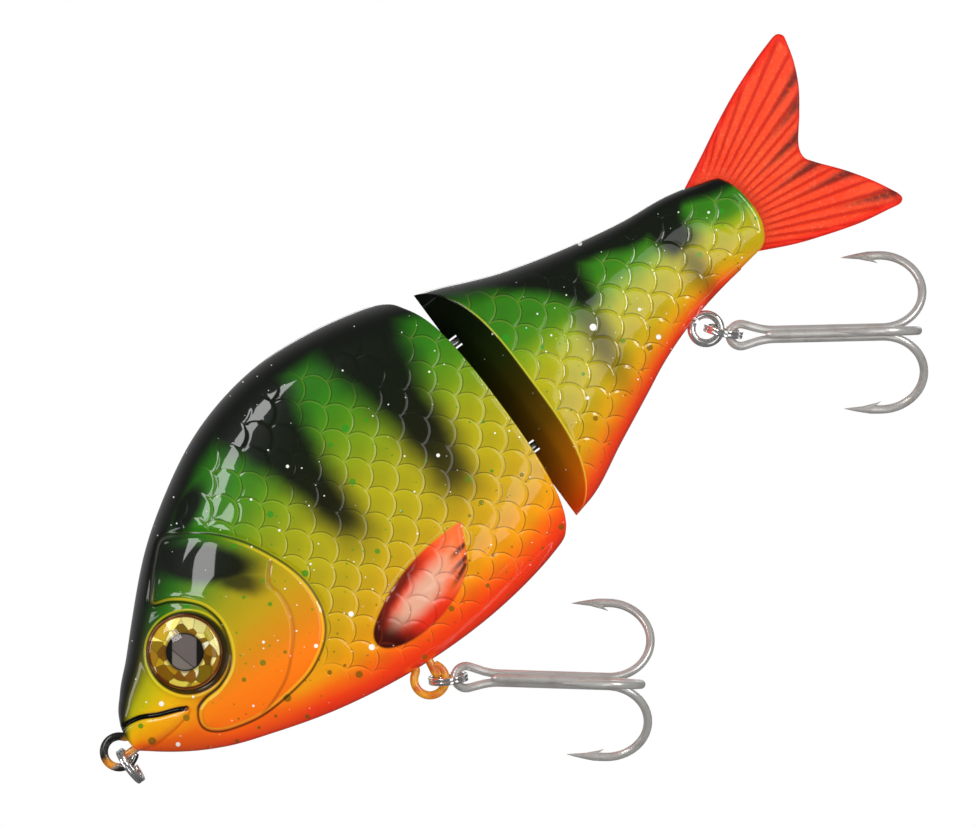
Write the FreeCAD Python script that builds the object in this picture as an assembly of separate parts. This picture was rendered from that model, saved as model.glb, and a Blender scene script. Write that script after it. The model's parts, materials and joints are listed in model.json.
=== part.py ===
import FreeCAD, Part
import math
import os

# Two-section jointed lure. Millimetres, +X from nose to tail, +Z towards the back, -Y the fish's
# left side. The origin is the centre of the line-tie eye on the nose.

V = FreeCAD.Vector
UP = V(0, 0, 1)
ACROSS = V(0, 1, 0)

# Driving sizes
WALL = 2.0
CLEAR = 0.03
FIT = 0.05
OVERLAP = 0.01
WIRE_R = 0.75
SIDE_REACH = 40.0
JOINT_X = 96.5
TAIL_X = 158.35
SECTION_POINTS = 14
SEAM_TURN = 37.0

# Section outlines: station along X, then height above or below the origin
FRONT_TOP = [(3.1, 3.9), (6.5, 8.7), (16.5, 18.5), (31.5, 31.2), (46.5, 39.7), (66.5, 43.4),
             (81.5, 41.6), (98.5, 35.9)]
FRONT_BOTTOM = [(3.1, -2.1), (6.5, -4.8), (16.5, -11.0), (31.5, -16.5), (46.5, -19.9), (61.5, -21.4),
                (81.5, -20.4), (98.5, -15.6)]
REAR_TOP = [(96.0, 36.5), (101.5, 34.6), (111.5, 30.4), (126.5, 26.2), (141.5, 23.7), (150.0, 22.3),
            (159.0, 19.8)]
REAR_BOTTOM = [(96.0, -15.6), (101.5, -14.3), (116.5, -7.1), (131.5, -0.4), (139.0, 1.6), (150.0, 3.4),
               (159.0, 4.0)]
HALF_WIDTH = [(3.1, 3.0), (8.0, 5.3), (14.5, 7.7), (21.5, 9.5), (31.5, 11.3), (46.5, 12.7), (66.5, 13.2),
              (96.5, 12.5), (111.5, 10.8), (126.5, 8.4), (141.5, 5.8), (150.0, 4.8), (159.0, 4.3)]
FULLNESS = [(3.1, 2.4), (31.5, 2.6), (66.5, 3.1), (96.5, 3.5), (126.5, 3.3), (159.0, 5.0)]

# Stretch of X that each skin and each cavity covers, and the distance between its cross-sections
FRONT_SKIN = (3.1, 98.0, 7.3)
FRONT_CAVITY = (32.5, 86.5, 9.0)
REAR_SKIN = (96.0, 159.0, 6.3)
REAR_CAVITY = (108.0, 128.0, 6.0)

# Rounded end of the rear section, and the solid block that the belly eye is clamped in
LOBE_TOP = V(153.3, 0, 21.4)
LOBE_END = V(TAIL_X, 0, 11.9)
LOBE_LOW = V(154.6, 0, 3.7)
LOBE_ROOT_X = 150.0
BELLY_BLOCK_HALF = 7.0
BELLY_BLOCK_TOP = -11.0

# The joint between the sections
PIN_X = JOINT_X + 4.0
PIN_R = 1.0
PIN_LOW_Z = -6.5
PIN_HIGH_Z = 30.5
HINGE_EYE_Z = (24.55, -0.15)
HINGE_EYE_R = PIN_R + FIT + WIRE_R
HINGE_SHANK_R = WIRE_R + FIT
HINGE_SHANK_L = 14.0
SLOT_HALF_HEIGHT = WIRE_R + 0.35
SLOT_HALF_WIDTH = HINGE_EYE_R + WIRE_R + 0.3
BEVEL_SLOPE = 0.696
HOLLOW_X = JOINT_X - 2.0
HOLLOW_SLOPE = 0.24

# Tail fin and its socket
TAIL_PIN_X = JOINT_X + 52.0
TAIL_PIN_R = 0.75
TAIL_SWING = math.radians(10.0)
TAIL_HALF = 0.8
BEAD_R = 1.6
BEAD_LOW_Z = 5.9
BEAD_HIGH_Z = 19.3
BEAD_ROOM = 0.1
FIN_ROOM = 0.12
TAIL_PIN_END = 1.4
FIN_MOUTH_X = TAIL_PIN_X + 1.0
FIN_TAB_X = TAIL_PIN_X + 1.5

# Fin outline from its upper root round the fork to its lower root: middle and end of each arc
FIN_TOP_ROOT = V(FIN_TAB_X, 0, 22.2)
FIN_ARCS = [(V(166.5, 0, 30.4), V(181.2, 0, 35.4)), (V(182.6, 0, 34.4), V(182.2, 0, 31.0)),
            (V(178.6, 0, 24.4), V(171.8, 0, 13.4)), (V(177.5, 0, 5.4), V(182.1, 0, -3.6)),
            (V(181.9, 0, -4.4), V(180.6, 0, -4.4)), (V(168.5, 0, -0.4), V(154.8, 0, 3.9))]

# Eyes of the fish
EYE_CENTRE = V(21.5, 7.9, 8.2)
EYE_R = 7.1
EYE_TILT = 12.0
FOIL_T = 0.4
DOME_H = 2.6
DOME_RIM = 0.7
DOME_GAP = 0.02
SOCKET_ROOM = 0.1
SOCKET_REACH = 12.0

# Wire eyes, split rings and treble hooks
LINE_TIE_R = 2.95
HANGER_R = 2.8
BELLY_HANGER = V(55.5, 0, -24.35)
REAR_HANGER = V(137.45, 0, -1.5)
REAR_LEAN = 15.0
LINE_TIE_LEGS = 11.0
BELLY_LEGS = 11.0
REAR_LEGS = 9.5
LINE_TIE_TAPER = 12.0
HANGER_TAPER = 4.0
LEG_END_ROOM = 0.8
RING_R = 3.4
RING_WIDE = 0.8
RING_THICK = 1.4
RING_SPLIT = 0.08
RING_GAP_DEG = 7.0
RING_CROSS_DEG = 1.0
LINE_CHAIN_DEG = 90.0
BELLY_CHAIN_DEG = 30.0
REAR_CHAIN_DEG = 48.0
SHANK_DEG = 36.5
HOOK_WIRE_R = 0.75
HOOK_EYE_R = 1.8
BUNDLE_R = 0.9
NECK_L = 6.5
NECK_START_PULL = 2.4
NECK_END_PULL = 2.2
BEND_X = 26.3
GAPE = 17.0
POINT_L = 7.2
POINT_TAPER = 5.2
POINT_TIP_R = 0.08
BRAZED_SHORT = 1.8
BRAZED_LAP = 0.5
PRONG_SPREAD = math.radians(60.0)

# Barb: how far its root and its free end lie inside the point line, and how far behind the tip
BARB_ROOT = (0.2, 3.9)
BARB_FREE = (1.7, 7.0)
BARB_R = (0.45, 0.06)

# Ballast, drum shaped, lying along X: middle of the weight, radius, length
BALLAST = {"front_ballast_fore": (V(41.5, 0, -9.5), 4.0, 12.0),
           "front_ballast_aft": (V(75.0, 0, -12.5), 4.5, 14.0),
           "rear_ballast": (V(114.0, 0, 1.5), 3.5, 10.0)}


def smooth(points, x):
    """Height of the cubic that runs smoothly through the points, at station x."""
    if x <= points[0][0]:
        return points[0][1]
    if x >= points[-1][0]:
        return points[-1][1]
    i = max(k for k in range(len(points) - 1) if points[k][0] <= x)

    def slope(k):
        low = max(k - 1, 0)
        high = min(k + 1, len(points) - 1)
        return (points[high][1] - points[low][1]) / (points[high][0] - points[low][0])

    (x0, y0), (x1, y1) = points[i], points[i + 1]
    run = x1 - x0
    t = (x - x0) / run
    s = 1 - t
    return (y0 * (1 + 2 * t) * s * s + slope(i) * run * t * s * s
            + y1 * (3 - 2 * t) * t * t - slope(i + 1) * run * t * t * s)


def section(x, top, bottom, side, inset):
    """Half cross-section of the body at station x, drawn inset from the skin and closed on Y = 0."""
    high = smooth(top, x) - inset
    low = smooth(bottom, x) + inset
    half = smooth(HALF_WIDTH, x) - inset
    power = smooth(FULLNESS, x)
    points = []
    for k in range(SECTION_POINTS + 1):
        u = -math.cos(math.pi * k / SECTION_POINTS)
        y = half * math.sqrt(max(0.0, 1 - abs(u) ** power))
        points.append(V(x, side * y, (high + low) / 2 + u * (high - low) / 2))
    curve = Part.BSplineCurve()
    curve.interpolate(points)
    return Part.Wire([curve.toShape(), Part.makeLine(points[-1], points[0])])


def half_body(top, bottom, side, stretch, inset=0.0):
    """Half of a section, skinned over the cross-sections of a stretch of X, for side -1 or +1."""
    start, end, step = stretch
    count = max(3, int(round((end - start) / step)))
    stations = [start + (end - start) * k / count for k in range(count + 1)]
    return Part.makeLoft([section(x, top, bottom, side, inset) for x in stations], True, False)


def box(x0, x1, y0, y1, z0, z1):
    return Part.makeBox(x1 - x0, y1 - y0, z1 - z0, V(x0, y0, z0))


def rod(radius, low, length, axis):
    """Cylinder whose seam line keeps away from the centre plane."""
    cylinder = Part.makeCylinder(radius, length, low, axis)
    cylinder.rotate(low, axis, SEAM_TURN)
    return cylinder


def prism(outline):
    """Outline in the XY plane carried through the whole height."""
    shape = Part.Face(Part.makePolygon(outline + outline[:1])).extrude(V(0, 0, 4 * SIDE_REACH))
    shape.translate(V(0, 0, -2 * SIDE_REACH))
    return shape


def tube(edges, radius):
    """Round wire of the given radius bent along the edges."""
    path = Part.Wire(edges)
    start = edges[0].valueAt(edges[0].FirstParameter)
    direction = edges[0].tangentAt(edges[0].FirstParameter)
    profile = Part.Wire(Part.makeCircle(radius, start, direction))
    return path.makePipeShell([profile], True, False)


def staple(centre, radius, legs, lean, taper):
    """Wire eye in the XZ plane. Its legs run along +X before the lean, closing in by the taper."""
    t = math.radians(taper)
    out = V(math.cos(t), 0, -math.sin(t))
    side = V(math.sin(t), 0, math.cos(t)) * radius
    mirror = V(side.x, 0, -side.z)
    mirror_out = V(out.x, 0, -out.z)
    edges = [Part.makeLine(side + out * legs, side),
             Part.Arc(side, V(-radius, 0, 0), mirror).toShape(),
             Part.makeLine(mirror, mirror + mirror_out * legs)]
    eye = tube(edges, WIRE_R)
    eye.rotate(V(0, 0, 0), ACROSS, -lean)
    eye.translate(centre)
    return eye


def hinge_eye(z):
    """Screw eye lying flat: a ring around the hinge pin and a shank into the front section."""
    ring = Part.makeTorus(HINGE_EYE_R, WIRE_R, V(PIN_X, 0, z), UP)
    return ring.fuse(rod(HINGE_SHANK_R, V(PIN_X - HINGE_EYE_R, 0, z), HINGE_SHANK_L, V(-1, 0, 0)))


def ring_sector(low, high, z0, z1):
    """Part of a flat ring between two angles, around Z."""
    inner = RING_R - RING_WIDE / 2
    profile = Part.makePlane(RING_WIDE, z1 - z0, V(inner, 0, z0), V(0, -1, 0))
    b = profile.BoundBox
    profile.translate(V(inner - b.XMin, 0, z0 - b.ZMin))
    sector = profile.revolve(V(0, 0, 0), UP, high - low)
    sector.rotate(V(0, 0, 0), UP, low)
    return sector


def split_ring(near, chain_deg):
    """Two flat coils joined by a crossover. Its wire passes through near; the ring hangs along the
    direction chain_deg below +X and its plane holds the Y axis."""
    cross = RING_GAP_DEG + RING_CROSS_DEG
    half = RING_THICK / 2
    gap = RING_SPLIT / 2
    lower = ring_sector(cross, 360 - cross - RING_GAP_DEG, -half, -gap)
    upper = ring_sector(cross + RING_GAP_DEG, 360 - cross, gap, half)
    link = ring_sector(-cross, cross, -half, half)
    ring = lower.fuse([upper, link])
    ring.rotate(V(0, 0, 0), UP, 90)
    ring.translate(V(RING_R, 0, 0))
    ring.rotate(V(0, 0, 0), ACROSS, chain_deg)
    ring.translate(near)
    return ring


def hook_edges(angle, bend_x):
    """Bend and point line of one hook, around the shank axis +X, starting at the bend."""
    out = V(0, math.cos(angle), math.sin(angle))
    low = out * BUNDLE_R + V(bend_x, 0, 0)
    high = out * GAPE + V(bend_x, 0, 0)
    crown = out * ((GAPE + BUNDLE_R) / 2) + V(bend_x + (GAPE - BUNDLE_R) / 2, 0, 0)
    back = V(-1, 0, 0) * (POINT_L - POINT_TAPER)
    return [Part.Arc(low, crown, high).toShape(), Part.makeLine(high, high + back)]


def hook_point(angle, bend_x):
    """Tapered point with its barb on the inner side."""
    out = V(0, math.cos(angle), math.sin(angle))
    base = out * GAPE + V(bend_x - POINT_L + POINT_TAPER, 0, 0)
    point = Part.makeCone(HOOK_WIRE_R, POINT_TIP_R, POINT_TAPER, base, V(-1, 0, 0))
    root, free = [out * (GAPE - inward) + V(bend_x - POINT_L + behind, 0, 0)
                  for inward, behind in (BARB_ROOT, BARB_FREE)]
    barb = Part.makeCone(BARB_R[0], BARB_R[1], (free - root).Length, root, free - root)
    return point.fuse(barb)


def treble(eye_at):
    """Treble hook: one wire bent into an eye and two hooks, a third hook brazed between them."""
    upper = PRONG_SPREAD
    lower = -PRONG_SPREAD
    back = math.pi
    necks = []
    for angle, sign in ((upper, 1), (lower, -1)):
        start = V(0, 0, sign * HOOK_EYE_R)
        end = V(NECK_L, BUNDLE_R * math.cos(angle), BUNDLE_R * math.sin(angle))
        curve = Part.BezierCurve()
        curve.setPoles([start, start + V(NECK_START_PULL, 0, 0), end - V(NECK_END_PULL, 0, 0), end])
        shank = Part.makeLine(end, V(BEND_X, end.y, end.z))
        necks.append([curve.toShape(), shank])
    eye = Part.Arc(V(0, 0, HOOK_EYE_R), V(-HOOK_EYE_R, 0, 0), V(0, 0, -HOOK_EYE_R)).toShape()
    arm_up = necks[0] + hook_edges(upper, BEND_X)
    arm_down = necks[1] + hook_edges(lower, BEND_X)
    loop = tube([eye], HOOK_WIRE_R)
    pieces = [tube(arm, HOOK_WIRE_R) for arm in (arm_up, arm_down)]
    third_bend = BEND_X - BRAZED_SHORT
    third_start = V(NECK_L - BRAZED_LAP, -BUNDLE_R, 0)
    third = [Part.makeLine(third_start, V(third_bend, -BUNDLE_R, 0))] + hook_edges(back, third_bend)
    pieces.append(tube(third, HOOK_WIRE_R))
    pieces.append(Part.makeCylinder(HOOK_WIRE_R, third_bend - NECK_L, V(NECK_L, 0, 0), V(1, 0, 0)))
    pieces += [hook_point(upper, BEND_X), hook_point(lower, BEND_X), hook_point(back, third_bend)]
    hook = loop.fuse(pieces)
    hook.rotate(V(0, 0, 0), ACROSS, SHANK_DEG)
    hook.translate(eye_at)
    return hook


def chain_end(hanger, chain_deg):
    """Where the hook's eye sits on the far side of a split ring."""
    a = math.radians(chain_deg)
    return hanger + V(math.cos(a), 0, -math.sin(a)) * (2 * RING_R)


def ballast(name, extra=0.0):
    middle, radius, length = BALLAST[name]
    start = middle - V(length / 2 + extra, 0, 0)
    return rod(radius + extra, start, length + 2 * extra, V(1, 0, 0))


def saddle(name):
    """Block between the walls that traps a ballast weight."""
    middle, radius, length = BALLAST[name]
    reach = length / 2 + WALL
    return box(middle.x - reach, middle.x + reach, -SIDE_REACH, SIDE_REACH,
               middle.z - SIDE_REACH, middle.z + radius + WALL)


def eye_solids(side):
    """Foil disc, clear dome and the socket they sit in, for side -1 (left) or +1 (right)."""
    disc = Part.makeCylinder(EYE_R - SOCKET_ROOM, FOIL_T)
    rim = Part.makeCylinder(EYE_R, DOME_RIM, V(0, 0, FOIL_T + DOME_GAP))
    cap_h = DOME_H - DOME_RIM
    ball_r = (EYE_R ** 2 + cap_h ** 2) / (2 * cap_h)
    cap_base = FOIL_T + DOME_GAP + DOME_RIM
    ball = Part.makeSphere(ball_r, V(0, 0, cap_base + cap_h - ball_r))
    cap = ball.common(Part.makeCylinder(EYE_R, cap_h + 1, V(0, 0, cap_base)))
    socket = Part.makeCylinder(EYE_R + SOCKET_ROOM, SOCKET_REACH, V(0, 0, -DOME_GAP))
    solids = [disc, rim.fuse(cap).removeSplitter(), socket]
    for solid in solids:
        solid.rotate(V(0, 0, 0), V(1, 0, 0), 90)
        solid.rotate(V(0, 0, 0), UP, -EYE_TILT)
        solid.translate(V(EYE_CENTRE.x, -EYE_CENTRE.y, EYE_CENTRE.z))
    if side > 0:
        solids = [s.mirror(V(0, 0, 0), ACROSS) for s in solids]
    return solids


def tail_fin_outline():
    """Forked fin seen from the side, with the tab that goes into the socket."""
    tab_heel = V(FIN_TAB_X, 0, BEAD_LOW_Z)
    tab_low = V(TAIL_PIN_X, 0, BEAD_LOW_Z)
    tab_high = V(TAIL_PIN_X, 0, BEAD_HIGH_Z)
    shoulder = V(FIN_TAB_X, 0, BEAD_HIGH_Z)
    edge = [tab_heel, tab_low, tab_high, shoulder, FIN_TOP_ROOT]
    wires = [Part.makeLine(a, b) for a, b in zip(edge, edge[1:])]
    start = FIN_TOP_ROOT
    for middle, end in FIN_ARCS:
        wires.append(Part.Arc(start, middle, end).toShape())
        start = end
    wires.append(Part.makeLine(start, tab_heel))
    return Part.Face(Part.Wire(wires))


def tail_fin():
    face = tail_fin_outline()
    face.translate(V(0, -TAIL_HALF, 0))
    blade = face.extrude(V(0, 2 * TAIL_HALF, 0))
    bead = Part.makeCylinder(BEAD_R, BEAD_HIGH_Z - BEAD_LOW_Z, V(TAIL_PIN_X, 0, BEAD_LOW_Z), UP)
    bore = Part.makeCylinder(TAIL_PIN_R + FIT, 2 * SIDE_REACH, V(TAIL_PIN_X, 0, -SIDE_REACH), UP)
    return blade.fuse(bead).cut(bore).removeSplitter()


def tail_socket():
    """Pocket for the fin's bead and a flared slot that lets the fin swing."""
    low = BEAD_LOW_Z - BEAD_ROOM
    high = BEAD_HIGH_Z + BEAD_ROOM
    pocket = rod(BEAD_R + FIT, V(TAIL_PIN_X, 0, low), high - low, UP)
    near = TAIL_HALF / math.cos(TAIL_SWING) + FIN_ROOM
    far_x = TAIL_X + 2.0
    far = near + (far_x - TAIL_PIN_X) * math.tan(TAIL_SWING)
    mouth = near + (FIN_MOUTH_X - TAIL_PIN_X) * math.tan(TAIL_SWING)

    def wedge(x0, half0, x1, half1, z0, z1):
        corners = [V(x0, -half0, z0), V(x1, -half1, z0), V(x1, half1, z0), V(x0, half0, z0)]
        return Part.Face(Part.makePolygon(corners + corners[:1])).extrude(V(0, 0, z1 - z0))

    inner = wedge(TAIL_PIN_X, near, FIN_MOUTH_X + OVERLAP, mouth, low, high)
    outer = wedge(FIN_MOUTH_X, mouth, far_x, far, -SIDE_REACH, SIDE_REACH)
    return pocket.fuse([inner, outer])


def tail_lobe():
    """Everything inside the rounded end of the rear section."""
    arc = Part.Arc(LOBE_TOP, LOBE_END, LOBE_LOW).toShape()
    rest = Part.makePolygon([LOBE_LOW, V(LOBE_ROOT_X, 0, -SIDE_REACH), V(0, 0, -SIDE_REACH),
                             V(0, 0, 2 * SIDE_REACH), V(LOBE_ROOT_X, 0, 2 * SIDE_REACH), LOBE_TOP])
    face = Part.Face(Part.Wire([arc] + rest.Edges))
    face.translate(V(0, -SIDE_REACH, 0))
    return face.extrude(V(0, 2 * SIDE_REACH, 0))


def vee(apex_x, slope):
    """Everything behind a V whose edge stands upright at apex_x."""
    back = apex_x + SIDE_REACH * slope
    return prism([V(apex_x, 0, 0), V(back, -SIDE_REACH, 0), V(2 * TAIL_X, -SIDE_REACH, 0),
                  V(2 * TAIL_X, SIDE_REACH, 0), V(back, SIDE_REACH, 0)])


def leg_slot(centre, radius, legs, lean):
    """Flat pocket that the legs of a wire eye are clamped in."""
    reach = radius + WIRE_R + CLEAR
    slot = box(0, legs + LEG_END_ROOM, -WIRE_R - CLEAR, WIRE_R + CLEAR, -reach, reach)
    slot.rotate(V(0, 0, 0), ACROSS, -lean)
    slot.translate(centre)
    return slot


def front_half(side, socket):
    outer = half_body(FRONT_TOP, FRONT_BOTTOM, side, FRONT_SKIN)
    cavity = half_body(FRONT_TOP, FRONT_BOTTOM, side, FRONT_CAVITY, WALL)
    for name in ("front_ballast_fore", "front_ballast_aft"):
        cavity = cavity.cut(saddle(name))
    block = box(BELLY_HANGER.x - BELLY_BLOCK_HALF, BELLY_HANGER.x + BELLY_BLOCK_HALF,
                -SIDE_REACH, SIDE_REACH, -SIDE_REACH, BELLY_BLOCK_TOP)
    half = outer.cut(cavity.cut(block))
    cuts = [vee(HOLLOW_X, HOLLOW_SLOPE), socket]
    cuts += [ballast("front_ballast_fore", CLEAR), ballast("front_ballast_aft", CLEAR)]
    cuts.append(leg_slot(V(0, 0, 0), LINE_TIE_R, LINE_TIE_LEGS, 0.0))
    cuts.append(leg_slot(BELLY_HANGER, HANGER_R, BELLY_LEGS, 90.0))
    for z in HINGE_EYE_Z:
        grip = HINGE_SHANK_R + CLEAR
        end = PIN_X - HINGE_EYE_R - HINGE_SHANK_L - CLEAR
        cuts.append(box(end, JOINT_X + WALL, -grip, grip, z - grip, z + grip))
    for cutter in cuts:
        half = half.cut(cutter)
    return half


def rear_half(side):
    outer = half_body(REAR_TOP, REAR_BOTTOM, side, REAR_SKIN)
    cavity = half_body(REAR_TOP, REAR_BOTTOM, side, REAR_CAVITY, WALL)
    outer = outer.common(vee(JOINT_X, BEVEL_SLOPE)).common(tail_lobe())
    half = outer.cut(cavity.cut(saddle("rear_ballast")))
    cuts = [ballast("rear_ballast", CLEAR), tail_socket(), hinge_pin(CLEAR), tail_pin(CLEAR)]
    cuts.append(leg_slot(REAR_HANGER, HANGER_R, REAR_LEGS, 90.0 + REAR_LEAN))
    for z in HINGE_EYE_Z:
        low = z - SLOT_HALF_HEIGHT
        room = rod(SLOT_HALF_WIDTH, V(PIN_X, 0, low), 2 * SLOT_HALF_HEIGHT, UP)
        throat = box(JOINT_X - WALL, PIN_X, -SLOT_HALF_WIDTH, SLOT_HALF_WIDTH, low, z + SLOT_HALF_HEIGHT)
        cuts += [room, throat]
    for cutter in cuts:
        half = half.cut(cutter)
    return half


def hinge_pin(extra=0.0):
    return rod(PIN_R + extra, V(PIN_X, 0, PIN_LOW_Z - extra), PIN_HIGH_Z - PIN_LOW_Z + 2 * extra, UP)


def tail_pin(extra=0.0):
    low = BEAD_LOW_Z - TAIL_PIN_END
    high = BEAD_HIGH_Z + TAIL_PIN_END
    return rod(TAIL_PIN_R + extra, V(TAIL_PIN_X, 0, low - extra), high - low + 2 * extra, UP)


def build():
    foil_left, dome_left, socket_left = eye_solids(-1)
    foil_right, dome_right, socket_right = eye_solids(1)
    nodes = {"eye_foil_left": foil_left, "eye_foil_right": foil_right,
             "eye_dome_left": dome_left, "eye_dome_right": dome_right}
    nodes["front_shell_left"] = front_half(-1, socket_left)
    nodes["front_shell_right"] = front_half(1, socket_right)
    nodes["rear_shell_left"] = rear_half(-1)
    nodes["rear_shell_right"] = rear_half(1)
    nodes["line_tie_eye"] = staple(V(0, 0, 0), LINE_TIE_R, LINE_TIE_LEGS, 0.0, LINE_TIE_TAPER)
    nodes["belly_hanger_eye"] = staple(BELLY_HANGER, HANGER_R, BELLY_LEGS, 90.0, HANGER_TAPER)
    nodes["rear_hanger_eye"] = staple(REAR_HANGER, HANGER_R, REAR_LEGS, 90.0 + REAR_LEAN, HANGER_TAPER)
    nodes["hinge_eye_upper"] = hinge_eye(HINGE_EYE_Z[0])
    nodes["hinge_eye_lower"] = hinge_eye(HINGE_EYE_Z[1])
    nodes["hinge_pin"] = hinge_pin()
    nodes["tail_fin"] = tail_fin()
    nodes["tail_pin"] = tail_pin()
    nodes["line_ring"] = split_ring(V(0, 0, 0), LINE_CHAIN_DEG)
    nodes["belly_ring"] = split_ring(BELLY_HANGER, BELLY_CHAIN_DEG)
    nodes["rear_ring"] = split_ring(REAR_HANGER, REAR_CHAIN_DEG)
    nodes["belly_treble_hook"] = treble(chain_end(BELLY_HANGER, BELLY_CHAIN_DEG))
    nodes["rear_treble_hook"] = treble(chain_end(REAR_HANGER, REAR_CHAIN_DEG))
    for name in BALLAST:
        nodes[name] = ballast(name)
    return nodes


os.makedirs("parts", exist_ok=True)
for node, shape in build().items():
    solids = shape.Solids
    if len(solids) != 1 or not shape.isValid():
        print("check", node, len(solids), shape.isValid(), [round(one.Volume, 3) for one in solids])
    shape.exportStep("parts/%s.step" % node)
print("done")
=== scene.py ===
import json
import math

import bmesh
import bpy
import numpy as np
from mathutils import Matrix, Vector

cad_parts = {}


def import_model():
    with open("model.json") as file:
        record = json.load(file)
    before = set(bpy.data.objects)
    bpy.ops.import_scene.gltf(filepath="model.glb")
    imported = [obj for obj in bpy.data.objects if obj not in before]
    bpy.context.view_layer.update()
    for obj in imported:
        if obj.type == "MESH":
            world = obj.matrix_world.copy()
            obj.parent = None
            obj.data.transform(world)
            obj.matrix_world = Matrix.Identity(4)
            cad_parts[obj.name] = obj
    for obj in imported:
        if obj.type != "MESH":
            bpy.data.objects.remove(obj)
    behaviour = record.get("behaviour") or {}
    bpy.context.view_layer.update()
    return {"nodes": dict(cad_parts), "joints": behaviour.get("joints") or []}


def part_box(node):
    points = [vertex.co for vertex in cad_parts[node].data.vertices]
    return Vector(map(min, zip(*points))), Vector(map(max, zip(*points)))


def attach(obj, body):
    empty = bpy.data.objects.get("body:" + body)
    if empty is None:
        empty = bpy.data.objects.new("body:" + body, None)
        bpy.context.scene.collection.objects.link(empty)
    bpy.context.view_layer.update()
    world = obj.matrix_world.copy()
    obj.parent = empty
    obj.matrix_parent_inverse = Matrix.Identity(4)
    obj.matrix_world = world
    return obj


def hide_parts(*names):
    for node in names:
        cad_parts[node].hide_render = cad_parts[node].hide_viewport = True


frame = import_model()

# Looks of the jointed lure. Lengths are millimetres in the lure's own axes: x runs towards the tail from
# the upright edge where the two sections meet, z up from that edge's middle, y across.
MM = 0.001
EDGE_LOW, EDGE_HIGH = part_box("rear_shell_left")
EDGE_X = EDGE_LOW[0] / MM
EDGE_Z = (EDGE_LOW[2] + EDGE_HIGH[2]) / 2 / MM
HAND = {-1: "_left", 1: "_right"}
ACROSS = np.array([0, 1.0, 0])


def to_row(points):
    """Row-frame metres of points given in the lure's axes."""
    x, y, z = np.asarray(points, float).T
    return np.stack([(x + EDGE_X) * MM, y * MM, (z + EDGE_Z) * MM], axis=-1)


def from_row(point):
    return Vector((point[0] / MM - EDGE_X, point[1] / MM, point[2] / MM - EDGE_Z))


def joint_place(name):
    return from_row([j for j in frame["joints"] if j["name"] == name][0]["pos_m"])


def node_box(name):
    """Low corner, high corner and middle of a CAD node."""
    low, high = [from_row(corner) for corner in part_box(name)]
    return low, high, (low + high) / 2


def heading(degrees):
    """Unit vector in the side view, turned up from +x."""
    a = math.radians(degrees)
    return np.array([math.cos(a), 0, math.sin(a)])


# ---- curves

def through(points):
    """Cubic that runs smoothly through (x, value) points, as a function of an array."""
    xs, ys = np.array(points, float).T
    slopes = np.gradient(ys, xs)

    def value(x):
        x = np.clip(x, xs[0], xs[-1])
        i = np.clip(np.searchsorted(xs, x, side="right") - 1, 0, len(xs) - 2)
        run = xs[i + 1] - xs[i]
        t = (x - xs[i]) / run
        s = 1 - t
        return (ys[i] * (1 + 2 * t) * s * s + slopes[i] * run * t * s * s
                + ys[i + 1] * (3 - 2 * t) * t * t - slopes[i + 1] * run * t * t * s)
    return value


def curve(points, closed=False, per_span=8):
    """Dense polyline through 2-D points, rounded like a Catmull-Rom spline."""
    p = np.array(points, float)
    n = len(p)
    spans = n if closed else n - 1
    out = []
    for k in range(spans):
        picks = [(k + i) % n if closed else min(max(k + i, 0), n - 1) for i in (-1, 0, 1, 2)]
        a, b, c, d = p[picks]
        for t in np.arange(per_span) / per_span:
            out.append(0.5 * ((2 * b) + (c - a) * t + (2 * a - 5 * b + 4 * c - d) * t ** 2
                              + (3 * b - a - 3 * c + d) * t ** 3))
    out.append(p[0] if closed else p[-1])
    return np.array(out)


def distance(line, x, z):
    """Distance from each (x, z) to a polyline."""
    best = np.full(x.shape, 1e9)
    for a, b in zip(line[:-1], line[1:]):
        ab = b - a
        t = np.clip(((x - a[0]) * ab[0] + (z - a[1]) * ab[1]) / max(ab @ ab, 1e-9), 0, 1)
        best = np.minimum(best, (x - a[0] - t * ab[0]) ** 2 + (z - a[1] - t * ab[1]) ** 2)
    return np.sqrt(best)


def signed(line, x, z):
    """Distance to a closed polyline, negative inside."""
    hit = np.zeros(x.shape, bool)
    for a, b in zip(line[:-1], line[1:]):
        at = a[0] + (z - a[1]) / (b[1] - a[1] + 1e-12) * (b[0] - a[0])
        hit ^= ((a[1] > z) != (b[1] > z)) & (x < at)
    return np.where(hit, -1.0, 1.0) * distance(line, x, z)


def ease(low, high, value):
    t = np.clip((value - low) / (high - low), 0, 1)
    return t * t * (3 - 2 * t)


# ---- body shape

NOSE_X = -93.4
FRONT_TOP = through([(-93.4, -6.6), (-92.75, -5.25), (-90, -1.75), (-85, 3), (-80, 8), (-70, 17.25),
                     (-60, 24), (-50, 29.1), (-40, 32), (-30, 33), (-20, 32.1), (-10, 29.9), (2, 25.6)])
FRONT_BOTTOM = through([(-93.4, -12.5), (-92.4, -13.3), (-90, -15.25), (-85, -18.75), (-80, -21.5),
                        (-70, -25.25), (-60, -28.25), (-50, -30.3), (-35, -31.8), (-20, -31.3),
                        (-10, -29.7), (2, -26.2)])
REAR_TOP = through([(0, 26), (5, 24.2), (10, 22), (15, 20), (20, 18.4), (30, 15.8), (40, 13.8),
                    (50, 12.6), (53, 11.9), (57, 10.9), (62, 9.9)])
REAR_BOTTOM = through([(0, -26), (5, -24.8), (15, -20), (25, -15.3), (30, -12.9), (36, -10.6), (42, -8.9),
                       (50, -7.4), (62, -6.3)])
HALF_WIDTH = through([(-93.4, 3.0), (-88.5, 5.3), (-82, 7.7), (-75, 9.5), (-65, 11.3), (-50, 12.7),
                      (-30, 13.2), (0, 12.5), (15, 10.8), (30, 8.4), (45, 5.8), (53.5, 4.8), (62.5, 4.3)])
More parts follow.
